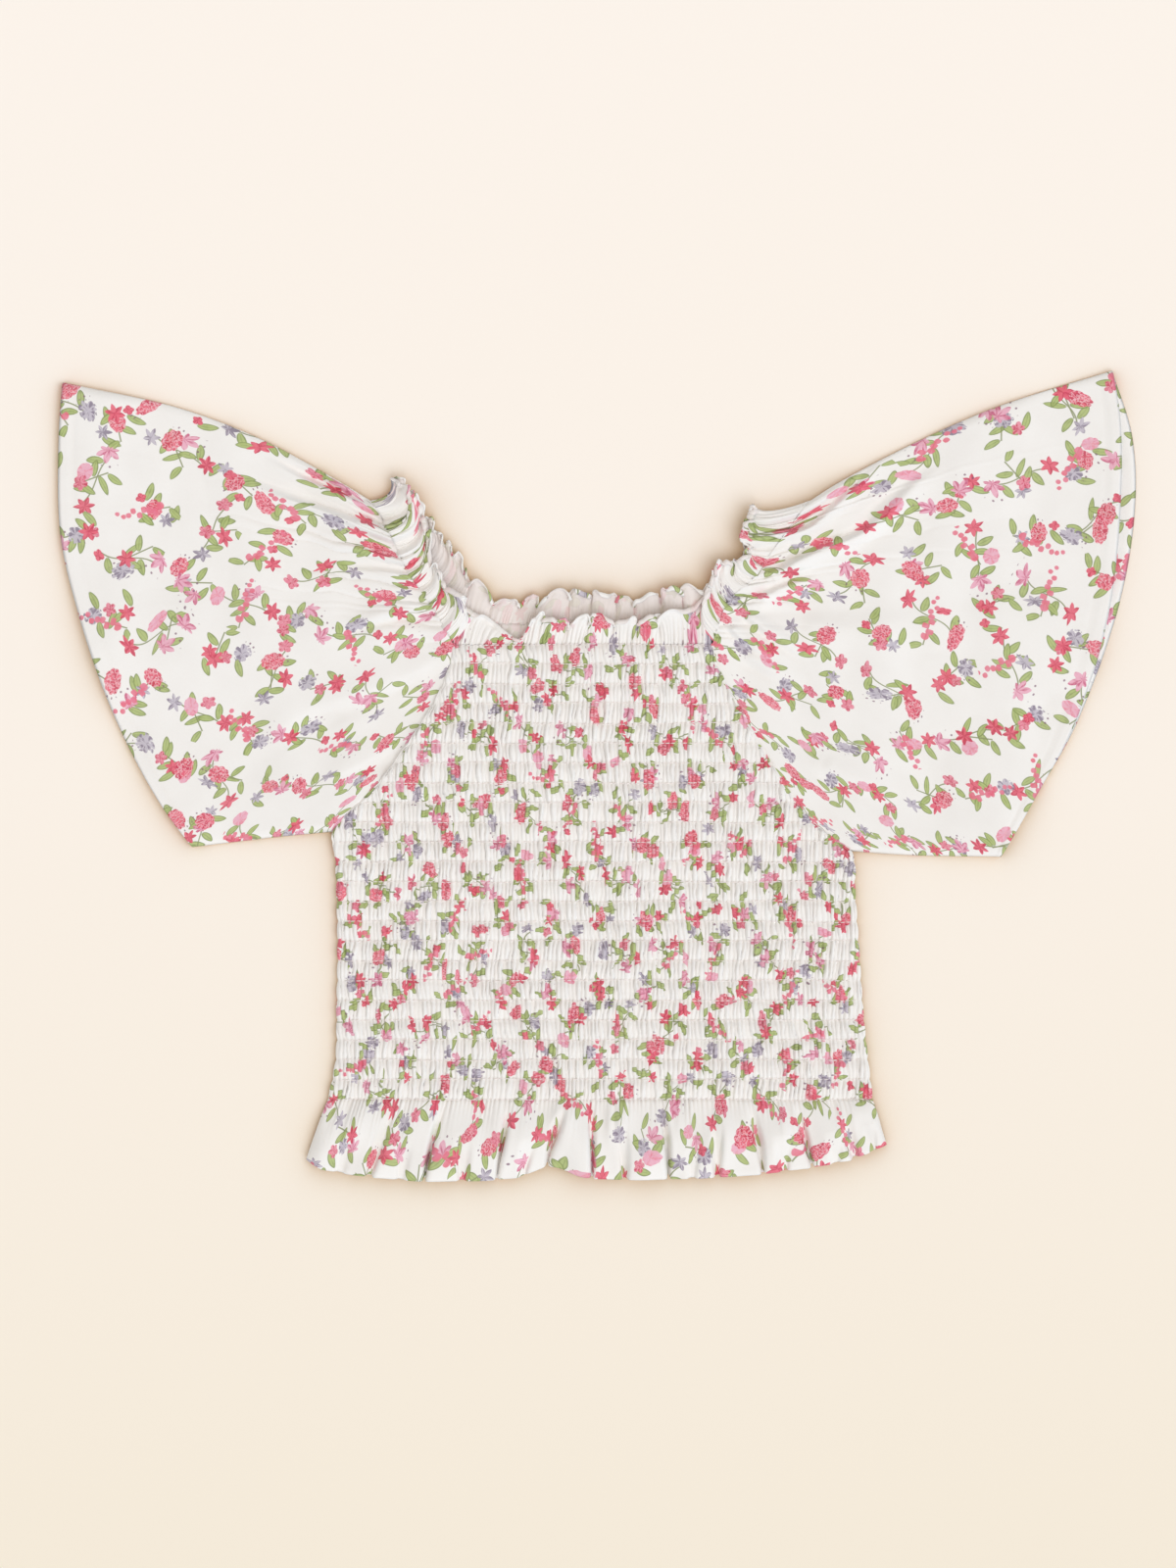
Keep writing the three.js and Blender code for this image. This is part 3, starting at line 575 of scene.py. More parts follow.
def frill(name, root, way, edge, waves, cloth, materials):
    """A frill from the points of its root, which it leaves along way, to those of its free edge.

    It stands up in round lobes. waves counts them along it, says how full each one is, and gives how far they
    rise, bulge over the valleys between them, push outward, lean and crimp. The rim rolls up and back.
    """
    out = np.minimum(FRILL_OUT, ROLL_START) / ROLL_START
    grown = out ** 0.8
    along = unit(np.gradient(edge[:, :2], axis=0))
    away = edge[:, :2] - root[:, :2]
    width = length(away)
    away /= width[:, None]
    turn = waves["turn"]
    swell = waves["swell"]
    lobe = np.floor(turn)
    across = turn - lobe
    crest = np.sin(math.pi * across) ** 0.7
    lean = waves["lean"] * (toss(waves["seed"], lobe) - 0.5) * crest
    bulge = -waves["bulge"] * np.sin(TURN * turn)
    fine = FINE_RISE * np.sin(TURN * waves["fine"]) * np.exp(-3.5 * out) * ease(out / 0.1)
    crimp = waves["crimp"] * drift(waves["seed"] + 2, 0.42, turn) * out ** 3

    bend = np.concatenate([way * width[:, None] * waves["flow"], np.zeros((len(way), 1))], axis=1)
    outer = mix(root[None], edge[None], out[..., None]) + (2 * out * (1 - out))[..., None] * bend[None]
    aside = (bulge + lean) * swell * grown * grown
    push = (waves["push"] * (np.sin(math.pi * across) - 0.6) + crimp) * swell * grown
    outer[..., :2] += aside[..., None] * along[None]
    outer[..., :2] += push[..., None] * away[None]
    outer[..., 2] += waves["rise"] * swell * crest * grown + fine + crimp * CRIMP_RISE

    rolled = np.clip((FRILL_OUT - ROLL_START) / (1 - ROLL_START), 0, 1)
    most = mix(*ROLL_TURNS, ease(0.5 + 0.8 * drift(waves["seed"] + 3, 1.1, turn))) * TURN
    radius = (1 - ROLL_START) * width / most
    outer[..., :2] += (radius * np.sin(most * rolled))[..., None] * away[None]
    outer[..., 2] += radius * (1 - np.cos(most * rolled))
    thickness = FRILL_THICK + RIM_THICK * ease((FRILL_OUT - 0.9) / 0.06)
    inner = outer - across_cloth(outer) * thickness[..., None]
    for surface, least in zip((inner, outer), FRILL_LEAST):
        surface[..., 2] = np.maximum(surface[..., 2], least)
    return add_shell(name, outer, inner, cloth, materials)


def neck_frill(name, row_y, table, materials, root_height, edge_height, rise, seed):
    columns = 620
    share = np.linspace(0, 1, columns)
    root_x = across_body(row_y, share)
    edge_x = mix(table["x"][0], table["x"][-1], share)
    root = stack(root_x, row_y - TUCK, root_height(root_x) - UNDER_ROW)
    edge = stack(edge_x, smooth(table, "y", edge_x), edge_height)
    waves = {
        "turn": smooth(table, "turn", edge_x) + 0.05 * drift(seed, 9, edge_x),
        "swell": smooth(table, "swell", edge_x),
        "fine": root_x / PUCKER_PITCH + 0.4 * drift(seed + 1, 15, root_x),
        "seed": seed + 2,
        "rise": rise,
        "bulge": 1.9,
        "lean": 4.0,
        "push": 5.0,
        "crimp": 0.7,
        "flow": 0.4,
    }
    cloth = stack(SHIRRING * root_x[None], BAND_CLOTH * row_y + FRILL_OUT * NECK_CLOTH)
    return frill(name, root, np.tile((0.0, 1.0), (columns, 1)), edge, waves, cloth, materials)


# ---------- The hem ruffle ----------


def hem_folds(edge_x, down):
    """How far the folds flatten the ruffle, what they hide, and how far cloth hangs over their sides."""
    valley, hidden, pinch = 0, 0, 0
    for x, depth, width, run, lean in zip(*HEM_FOLDS.values()):
        grown = ease((down - 1 + run) / run) ** 0.6
        half = width * (0.45 + 0.75 * np.sin(math.pi * 0.85 * down))
        off = (edge_x - x - lean * (1 - down)) / half
        valley = valley + depth / FOLD_DEPTH * grown * np.exp(-off ** 4)
        hidden = hidden + depth * FOLD_CLOTH * (np.tanh(1.6 * (edge_x - x) / width) / 2)
        over = np.sign(lean)  # the side on which the cloth hangs over the fold
        hang = 0.55 * off * np.exp(-0.5 * off * off)
        hang = hang + 0.75 * over * np.exp(-((off - 1.05 * over) / 0.55) ** 2)
        pinch = pinch + 0.2 * depth * grown * half * hang
    return np.clip(valley, 0, 1.15), hidden, pinch


def hem_ruffle_front(material):
    columns, rows, turned = 640, 60, 4
    down = np.concatenate([np.linspace(0, 1, rows), np.linspace(1, 0.93, turned + 1)[1:]])[:, None]
    inside = np.concatenate([np.zeros(rows), np.ones(turned)])[:, None]
    share = np.linspace(0, 1, columns)[None, :]
    root_x = across_body(HEM_ROW, share)
    edge_x = mix(HEM_EDGE["x"][0], HEM_EDGE["x"][-1], share)
    valley, hidden, pinch = hem_folds(edge_x, down)
    width, side_round = 290, 7
    side = round_off(share * width / side_round) * round_off((1 - share) * width / side_round)

    # It rises from the last row, is fullest about two thirds of the way down, and sinks a little to the hem.
    swell = HEM_SWELL * np.sin(math.pi * (0.07 + 0.68 * down)) * side
    swell = swell * (1 + 0.25 * drift(41, 26, edge_x, down * 20))
    last_row = float(ROWS - 1)
    phase = row_phase(last_row, root_x, FRONT_SEED)
    strength = mix(0.5, 1.2, toss(44, np.floor(phase)))
    reach = 0.07 + 0.2 * toss(43, np.floor(root_x / 4.3)) ** 4
    gathers = HEM_GATHERS * strength * (np.abs(np.sin(math.pi * phase)) ** 0.7 - 0.4) * np.exp(-down / reach)
    broad = HEM_BROAD * np.sin(math.pi * (root_x / 7.3 + drift(45, 30, root_x)))
    broad = broad * np.exp(-((down - 0.25) / 0.25) ** 2)
    height = HEM_BASE + np.maximum(0, swell * (1 - valley) + (gathers + broad) * side)
    row_height = front_height(root_x, last_row) - UNDER_ROW
    height = mix(mix(1.2, row_height, side), height, ease(down / 0.05))
    lip = HEM_LIP * ease((down - 0.94) / 0.06) * (0.4 + 0.6 * drift(47, 18, edge_x))

    x = mix(root_x, edge_x, down ** 0.9) - pinch
    y_edge = smooth(HEM_EDGE, "y", edge_x) + HEM_LIFT * valley ** 1.4 * side
    y = mix(HEM_ROW + TUCK, y_edge, down)
    z = np.maximum(HEM_LEAST, height - lip) - TURNED_UNDER * inside
    # On the flat cloth the hem runs on through what the folds hide, and on the whole stays under its row.
    flat_x = 1.1 * edge_x + hidden
    window = np.exp(-np.linspace(-2, 2, 161) ** 2)
    drawn = np.pad((SHIRRING * root_x - flat_x)[0], len(window) // 2, mode="edge")
    flat_x = flat_x + np.convolve(drawn, window / window.sum(), mode="valid")
    cloth = stack(mix(SHIRRING * root_x, flat_x, down ** 0.6), BAND_CLOTH * HEM_ROW - HEM_CLOTH * down)
    return add_sheet("hem_ruffle_front_cloth", stack(x, y, z), cloth, material)


def hem_ruffle_back(outside, inside):
    columns, rows = 260, 24
    down = np.linspace(0, 1, rows)[:, None]
    share = np.linspace(0, 1, columns)[None, :]
    root_x = across_body(HEM_ROW, share)
    edge_x = mix(HEM_EDGE["x"][0] + 2, HEM_EDGE["x"][-1] - 2, share)
    x = mix(root_x, edge_x, down ** 0.9)
    wave = 0.5 + 0.5 * np.sin(TURN * (edge_x / 17 + 0.8 * drift(51, 60, edge_x)))
    y = mix(HEM_ROW, smooth(HEM_EDGE, "y", edge_x) + 2.5 - 2 * wave, down)
    gathers = 0.4 * np.sin(math.pi * (root_x / 2.6 + drift(53, 20, root_x))) ** 2 * np.exp(-3 * down)
    low = 0.12 + 0.7 * wave * down + gathers
    cloth = stack(SHIRRING * -root_x + BACK_CUT[0], BAND_CLOTH * HEM_ROW - HEM_CLOTH * down)
    outer, inner = stack(x, y, low), stack(x, y, low + 0.7)
    return add_shell("hem_ruffle_back_cloth", outer, inner, cloth, [outside, inside])


# ---------- Sleeves ----------


class SleevePlan:
    """A sleeve's two layers in plan.

    s runs from 0 at the inner edge to 1 at the hem, and t from 0 at the underarm to 1 on top.
    """

    def __init__(self, side):
        self.side = side
        self.cut = SLEEVES[side]
        names = ("gather_front", "gather_back", "top_fold", "underarm", "hem_front", "hem_back")
        self.curves = {name: Path(self.cut[name]) for name in names}
        armpit = self.raglan(self.cut["underarm"][0][1])
        self.curves["underarm"] = Path((armpit, *self.cut["underarm"][1:]))

    def raglan(self, y):
        return stack(body_edge(self.side, y) - self.cut["outward"] * 2 * TUCK, y)

    def inner_edge(self, layer, t):
        start_y = self.cut["underarm"][0][1]
        y = mix(start_y, self.cut[f"gather_{layer}"][0][1], np.clip(t / RAGLAN_SHARE, 0, 1))
        gather = self.curves[f"gather_{layer}"].at((t - RAGLAN_SHARE) / (1 - RAGLAN_SHARE))
        return np.where((t < RAGLAN_SHARE)[..., None], self.raglan(y), gather)

    def way_out(self, layer, t):
        """The unit way in which the cloth runs out over the inner edge."""
        return unit(self.place(layer, 0.0, t) - self.place(layer, 0.05, t))

    def place(self, layer, s, t):
        """The layer filled in evenly between its four edges."""
        s, t = np.broadcast_arrays(s, t)
        one = np.ones_like(t)
        top, under = self.curves["top_fold"], self.curves["underarm"]
        inner, hem = self.inner_edge(layer, t), self.curves[f"hem_{layer}"].at(t)
        armpit, shoulder = self.inner_edge(layer, 0 * one), self.inner_edge(layer, one)
        s, t = s[..., None], t[..., None]
        edges = inner * (1 - s) + hem * s + under.at(s[..., 0]) * (1 - t) + top.at(s[..., 0]) * t
        corners = armpit * (1 - s) * (1 - t) + under.at(one) * s * (1 - t)
        return edges - corners - shoulder * (1 - s) * t - top.at(one) * s * t

    def measured(self, layer, s, t):
        """Places of a layer, how far they are from its inner edge, and how far it has rounded its folds."""
        here = self.place(layer, s, t)
        s, t = (np.broadcast_to(share, here.shape[:-1]) for share in (s, t))
        to_fold = np.minimum(*(length(here - self.curves[name].at(s)) for name in ("top_fold", "underarm")))
        return here, length(here - self.inner_edge(layer, t)), round_off(to_fold / FOLD_ROUND)


def crease_height(creases, here):
    """How far the creases raise the cloth: a ridge along each route, and a steep trough on one side of it."""
    total = 0
    for crease in creases:
        distance, share = Path(crease["route"]).nearest(here)
        off = distance * crease["side"] / crease["width"]
        taper = np.clip(share / 0.12, 0.35, 1) * (1 - share ** 2.2)
        off_end = np.where((share > 0) & (share < 1), 1, np.exp(-np.abs(off)))
        ridge = np.exp(-np.where(off > 0, off * 1.7, off * 0.75) ** 2)
        trough = TROUGH_DEPTH * np.exp(-((off - 1.25) / 0.55) ** 2)
        total = total + CREASE_DEPTH * crease["height"] * taper * off_end * (ridge - trough)
    return total


def sleeve_height(sleeve, s, t, seed):
    """The upper layer's places and height, how far it has rounded its folds, its distance from the inner edge
    and how far aside its gathers hide cloth.
    """
    here, reach, rounded = sleeve.measured("front", s, t)
    in_gathers = np.clip((t - RAGLAN_SHARE + 0.02) / 0.06, 0, 1)
    lift = mix(RAGLAN_RISE, GATHER_RISE, in_gathers) * np.exp(-reach / RISE_REACH)
    along_gathers = (t - RAGLAN_SHARE) / (1 - RAGLAN_SHARE)
    phase = GATHER_TURNS * along_gathers + 0.9 * drift(seed, 0.16, t) + 0.15 * drift(seed + 4, 30, reach)
    count = np.floor(phase)
    across = phase - count
    run = 9 + 48 * toss(seed + 1, count) ** 1.8
    fade = in_gathers * mix(0.25, 1.25, toss(seed + 2, count) ** 1.4) * np.exp(-reach / run)
    gathers = GATHER_DEPTH * fade * (np.sin(math.pi * across) ** 0.6 - 0.45)
    folds = crease_height(sleeve.cut["creases"], here)
    hem_wave = HEM_WAVE * s * s * (1 + np.sin(14 * t + 1))
    sag = 1.3 * drift(seed + 3, 90, here[..., 0], here[..., 1])
    sag = sag + 0.6 * drift(seed + 5, 38, here[..., 0], here[..., 1])
    above = np.maximum(0.05, SLEEVE_FILL + sag + lift + gathers + folds + hem_wave)
    seam = np.exp(-(reach / 1.8) ** 2) * (1 - in_gathers)
    height = mix(SLEEVE_TOP + above, SEAM_HEIGHT - UNDER_ROW, seam)
    hidden = (0.5 - across) * np.clip(fade, 0, 1)
    return here, height, rounded, reach, hidden


def sleeve_cloth(sleeve, here, reach, hidden, t, mirrored, beyond=0):
    """Where on the flat cloth a place of a sleeve is: the plan, spread out again along the gathered edge.

    beyond is the way from that edge to a place in the frill. The sleeve's back is cut mirrored.
    """
    cut = sleeve.cut
    start, end = (np.array(cut["gather_front"][k], float) for k in (0, -1))
    widest, fades = GATHER_SPREAD
    spread = widest * np.clip((t - 0.55) / 0.45, -1, 1) * np.exp(-reach / fades) + GATHER_HIDES * hidden
    flat = here + spread[..., None] * unit(end - start) + beyond
    angle = math.radians(cut["grain"])
    turned = stack(
        flat[..., 0] * math.cos(angle) + flat[..., 1] * math.sin(angle),
        flat[..., 1] * math.cos(angle) - flat[..., 0] * math.sin(angle),
    )
    return turned * (-1, 1) + SLEEVE_BACK_CUT if mirrored else turned + SLEEVE_CUTS[sleeve.side]


def sleeve_tube(side, material, seed):
    """A sleeve's two layers as one tube, from its inner edge to its hem and a little way back in."""
    sleeve = SleevePlan(side)
    rings, turned = 124, 4
    raglan_columns, gather_columns, under_columns = 100, 204, 110
    width = sleeve.curves["top_fold"].length
    back_in = 1 - np.linspace(0, SLEEVE_HEM / width, turned + 1)[1:]
    s = np.concatenate([np.linspace(0, 1, rings) ** 1.25, back_in])[:, None]
    inside = np.concatenate([np.zeros(rings), np.ones(turned)])[:, None]

    raglan = np.linspace(0, RAGLAN_SHARE, raglan_columns, endpoint=False)
    t = np.concatenate([raglan, np.linspace(RAGLAN_SHARE, 1, gather_columns)])[None, :]
    here, height, rounded, reach, hidden = sleeve_height(sleeve, s, t, seed)
    from_hem = (1 - s) * width
    step = 0.3 * ease((SLEEVE_HEM - from_hem) / 1.2)
    stitching = 0.35 * np.exp(-((from_hem - SLEEVE_HEM) / 0.9) ** 2)
    height = height + (step - stitching) * (1 - inside) - TURNED_UNDER * inside
    upper = stack(here[..., 0], here[..., 1], mix(SLEEVE_FOLD, height, rounded))
    upper_cloth = sleeve_cloth(sleeve, here, reach, hidden, t, False)

    t = np.linspace(1, 0, under_columns + 2)[None, 1:-1]
    below, reach, rounded = sleeve.measured("back", s, t)
    ripple = 0.35 * (1 + drift(seed + 7, 30, below[..., 0], below[..., 1])) * np.exp(-reach / 60)
    low = mix(SLEEVE_FOLD, SLEEVE_LOW + ripple, rounded) + 0.6 * inside
    lower = stack(below[..., 0], below[..., 1], low)
    lower_cloth = sleeve_cloth(sleeve, below, reach, 0 * reach, t, True)

    points = np.concatenate([upper, lower], axis=1)
    cloth = np.concatenate([upper_cloth, lower_cloth, lower_cloth[:, -1:]], axis=1)
    return add_sheet(f"sleeve_{side}_cloth", points, cloth, material, loop=True)


def sleeve_frill(side, materials, sleeve_seed):
    """The frill beyond a sleeve's gathers: up its front, over the fold at the shoulder and down its back."""
    sleeve = SleevePlan(side)
    seed = sleeve_seed + 15
    front, back = 420, 200
    up = np.linspace(0, 1, front)
    down = np.linspace(0, 1, back + 1)[1:]
    ts = [mix(RAGLAN_SHARE, 1, up), mix(1, RAGLAN_SHARE, down)]
    layers = ("front", "back")
    edges = [Path(sleeve.cut[f"frill_{layer}"]).at(share) for layer, share in zip(layers, (up, 1 - down))]
    roots = [sleeve.inner_edge(layer, t) for layer, t in zip(layers, ts)]
    ways = [sleeve.way_out(layer, t) for layer, t in zip(layers, ts)]
    way = np.concatenate([up, 1 + down])
    back_share = ease((way - 0.94) / 0.12)
    _, edge_heights, _, _, hidden = sleeve_height(sleeve, np.array(0.0), ts[0], sleeve_seed)
    root_height = np.concatenate([edge_heights, np.full(back, edge_heights[-1])])
    root = np.concatenate(roots) - 2 * TUCK * np.concatenate(ways)
    root = stack(*root.T, mix(root_height - UNDER_ROW, 1.2, back_share))
    edge = stack(*np.concatenate(edges).T, mix(4.4, 1.2, back_share))
    swell = 0.8 + 0.35 * drift(seed, 0.35, way)
    swell = swell * mix(1, 0.45, ease((way - 1) / 0.15)) * ease(way / 0.04) * ease((2 - way) / 0.04)
    waves = {
        "turn": 7.3 * way + 0.35 * drift(seed + 1, 0.4, way),
        "swell": swell,
        "fine": 44 * way + 0.6 * drift(seed + 2, 0.1, way),
        "seed": seed + 3,
        "rise": 5.2,
        "bulge": 1.8,
        "lean": 3.5,
        "push": 5.0,
        "crimp": 0.8,
        "flow": 0.5,
    }
    cloth = np.concatenate([
        sleeve_cloth(
            sleeve, here[None], np.zeros((1, len(t))), gathered[None], t, layer == "back",
            FRILL_CLOTH * FRILL_OUT[..., None] * out[None],
        )
        for layer, here, t, out, gathered in zip(layers, roots, ts, ways, (hidden, 0 * ts[1]))
    ], axis=1)
    return frill(f"sleeve_ruffle_{side}_cloth", root, np.concatenate(ways), edge, waves, cloth, materials)


# ---------- Sewing ----------

THREAD_THICK = 0.31
STITCH_PITCH = 2.9
STITCH_SHARE = 0.86  # the part of the pitch that a stitch is long
STITCH_ARCH = np.array([-0.25, 0.1, 0.1, -0.25])  # how far its four points stand over the cloth


def thread_mesh(name, dashes, material):
    """Short threads as one mesh. Each dash is a run of points, all with as many points."""
    ways = unit(np.gradient(dashes, axis=1))
    aside = unit(np.cross(ways, (0, 0, 1.0)), 1e-9)
    above = np.cross(aside, ways)
    count, steps = dashes.shape[:2]
    thick = np.sin(math.pi * np.linspace(0.12, 0.88, steps))[None, :, None] ** 0.5 * THREAD_THICK
    around = (aside * thick, above * thick, -aside * thick, -above * thick)
    rings = np.stack([dashes + away for away in around], axis=2)
    first = (np.arange(count) * steps * 4)[:, None, None]
    step = (np.arange(steps - 1) * 4)[None, :, None]
    side = np.arange(4)[None, None, :]
    here = first + step + side
    after = first + step + (side + 1) % 4
    sides = np.stack([here, after, after + 4, here + 4], axis=-1).reshape(-1, 4)
    start = (first + side)[:, 0]
    caps = np.concatenate([start[:, ::-1], start + (steps - 1) * 4])
    faces = np.concatenate([sides, caps])
    if encloses(rings[:1].reshape(-1, 3) - dashes[0, 0], faces[:(steps - 1) * 4]) < 0:
        faces = faces[:, ::-1]
    tiles = math.ceil(math.sqrt(len(faces)))
    tile = np.arange(len(faces))
    corner = np.array([(0.1, 0.1), (0.9, 0.1), (0.9, 0.9), (0.1, 0.9)])
    maps = {"OFBake": (stack(tile % tiles, tile // tiles)[:, None] + corner) / tiles}
    return add_mesh(name, rings.reshape(-1, 3), faces, maps, np.zeros(len(faces), int), [material])


def elastic_rows(material):
    """The stitches of the elastic rows, as they cross the front's gathers."""
    dashes = []
    for row in range(ROWS):
        y = FRONT_NECK_ROW - row * ROW_PITCH
        left, right = body_edge("left", y) + 3, body_edge("right", y) - 3
        count = np.arange(int((right - left) / STITCH_PITCH))
        start = left + STITCH_PITCH * (count + 0.3 * toss(81, count, row))
        x = start[:, None] + np.linspace(0, STITCH_PITCH * STITCH_SHARE, 4)[None, :]
        z = front_height(x, float(row)).max(axis=1, keepdims=True)
        slant = 0.25 * (toss(82, count, row)[:, None] - 0.5) * np.array([-1, -0.3, 0.3, 1])
        dashes.append(stack(x, y + slant + row_sway(x, row), z + STITCH_ARCH))
    return thread_mesh("elastic_rows", np.concatenate(dashes), material)


# ---------- Materials ----------


class Value:
    """A number or a colour that a material's nodes work out. Arithmetic on it adds Math nodes."""

    def __init__(self, tree, socket):
        self.tree = tree
        self.socket = socket

    def math(self, operation, *others, clamp=False):
        node = self.tree.nodes.new("ShaderNodeMath")
        node.operation = operation
        node.use_clamp = clamp
        for socket, value in zip(node.inputs, (self, *others)):
            plug(self.tree, value, socket)
        return Value(self.tree, node.outputs[0])

    __add__ = __radd__ = partialmethod(math, "ADD")
    __sub__ = partialmethod(math, "SUBTRACT")
    __rsub__ = partialmethod(math, "MULTIPLY_ADD", -1.0)
    __mul__ = __rmul__ = partialmethod(math, "MULTIPLY")
    __truediv__ = partialmethod(math, "DIVIDE")
    __pow__ = partialmethod(math, "POWER")

    def within(self, low, high):
        return self.math("MAXIMUM", low).math("MINIMUM", high)

    def mask(self, soft):
        """1 where the number is above 0 and 0 below it, with a soft edge."""
        return self.math("MULTIPLY_ADD", 1 / soft, 0.5, clamp=True)


def plug(tree, value, socket):
    if isinstance(value, Value):
        tree.links.new(value.socket, socket)
    else:
        socket.default_value = value


def plug_all(tree, node, inputs):
    for name, value in inputs.items():
        plug(tree, value, node.inputs[name])


def add_node(tree, kind, inputs=None, **settings):
    node = tree.nodes.new(kind)
    for name, setting in settings.items():
        setattr(node, name, setting)
    plug_all(tree, node, inputs or {})
    return node


def read(output, tree, kind, inputs=None, **settings):
    """One output of a new node."""
    return Value(tree, add_node(tree, kind, inputs, **settings).outputs[output])


def read_all(tree, kind, inputs):
    return [Value(tree, output) for output in add_node(tree, kind, inputs).outputs]


def combine(tree, x, y, z=0.0):
    return read("Vector", tree, "ShaderNodeCombineXYZ", {"X": x, "Y": y, "Z": z})


def noise(tree, vector, scale, detail):
    return read("Fac", tree, "ShaderNodeTexNoise", {"Vector": vector, "Scale": scale, "Detail": detail})


def blend(tree, share, first, second):
    """A colour between two others, each of which is a node's or a plain one."""
    node = add_node(tree, "ShaderNodeMix", data_type="RGBA")
    sockets = [socket for socket in node.inputs if socket.enabled]
    for socket, value in zip(sockets, (share, first, second)):
        plug(tree, value, socket)
    return Value(tree, next(socket for socket in node.outputs if socket.enabled))


def linear(red, green, blue):
    """A colour from its screen values of 0 to 255."""
    parts = [c / 255 for c in (red, green, blue)]
    return (*(p / 12.92 if p <= 0.04045 else ((p + 0.055) / 1.055) ** 2.4 for p in parts), 1.0)


WHITE_CLOTH = linear(246, 243, 240)
DULL_CLOTH = linear(205, 196, 188)
INNER_CLOTH = linear(238, 229, 225)
LEAF_GREEN = linear(180, 194, 124)
LEAF_DARK = linear(120, 136, 76)
STEM_GREEN = linear(140, 148, 102)
CORAL = linear(234, 104, 126)
CORAL_DARK = linear(200, 44, 80)
ROSE = linear(234, 130, 154)
PINK = linear(238, 176, 198)
PINK_DARK = linear(202, 78, 122)
PALE_PINK = linear(246, 196, 204)
LAVENDER = linear(200, 192, 204)
LAVENDER_DARK = linear(128, 114, 136)
DOT = linear(132, 92, 116)
THREAD_LIGHT = linear(252, 248, 246)
THREAD_DARK = linear(240, 230, 228)
# The paper's colours from far to near: darker and warmer toward the near edge, a painted fall-off of light.
PAPER_FAR = linear(254, 246, 238)
PAPER_MIDDLE = linear(252, 243, 233)
PAPER_NEAR = linear(246, 236, 219)
PAPER_GRAIN = linear(228, 210, 186)
# tan of the shadow painted on the paper beside the cloth
PAPER_PAINTED_SHADOW = linear(218, 184, 142)

# Kinds of flower in the print: what part of the flowers they are, how many petals they have, how deep the
# gaps between petals go, how pointed the petals are, the radius, how far the flower opens to one side, its
# height for its width, how far florets, scribbled lines and an arc of dots show, and its colours in the open
# and in its folds.
FLOWERS = named(
    "share petals notch point radius lean narrow florets lines dots light dark",
    (0.19, 6, 0.5, 0.6, 5.5, 0.0, 1.0, 0.0, 0.0, 0.0, CORAL, CORAL_DARK),
    (0.13, 9, 0.12, 0.0, 7.2, 0.1, 0.74, 0.0, 1.0, 1.0, CORAL, CORAL_DARK),
    (0.14, 7, 0.5, 0.3, 8.4, 0.78, 1.0, 0.0, 0.3, 1.0, PINK, PINK_DARK),
    (0.12, 5, 0.36, 0.0, 5.0, 0.2, 0.9, 0.1, 0.5, 0.0, ROSE, CORAL_DARK),
    (0.09, 4, 0.3, 0.0, 3.7, 0.2, 0.9, 0.0, 0.0, 0.0, CORAL, CORAL_DARK),
    (0.08, 8, 0.08, 0.0, 5.8, 0.1, 0.72, 0.0, 0.5, 0.0, PINK, ROSE),
    (0.11, 6, 0.56, 0.6, 5.8, 0.25, 1.0, 0.0, 0.0, 0.0, LAVENDER, LAVENDER_DARK),
    (0.14, 8, 0.12, 0.0, 6.6, 0.15, 0.9, 1.0, 0.0, 1.0, LAVENDER, LAVENDER_DARK),
)
# Columns with numbers over 1, which a colour ramp doesn't hold, and what they are divided by for it.
MOST = {"petals": 16, "radius": 10}

# Leaves on each kind of sprig: how far apart, how they slant from the stem in degrees, how long and how wide.
LEAVES = {"vine": (7.8, 57, 10.2, 3.5), "posy": (8.6, 68, 11.0, 3.5), "single": (7.2, 58, 9.6, 3.4)}


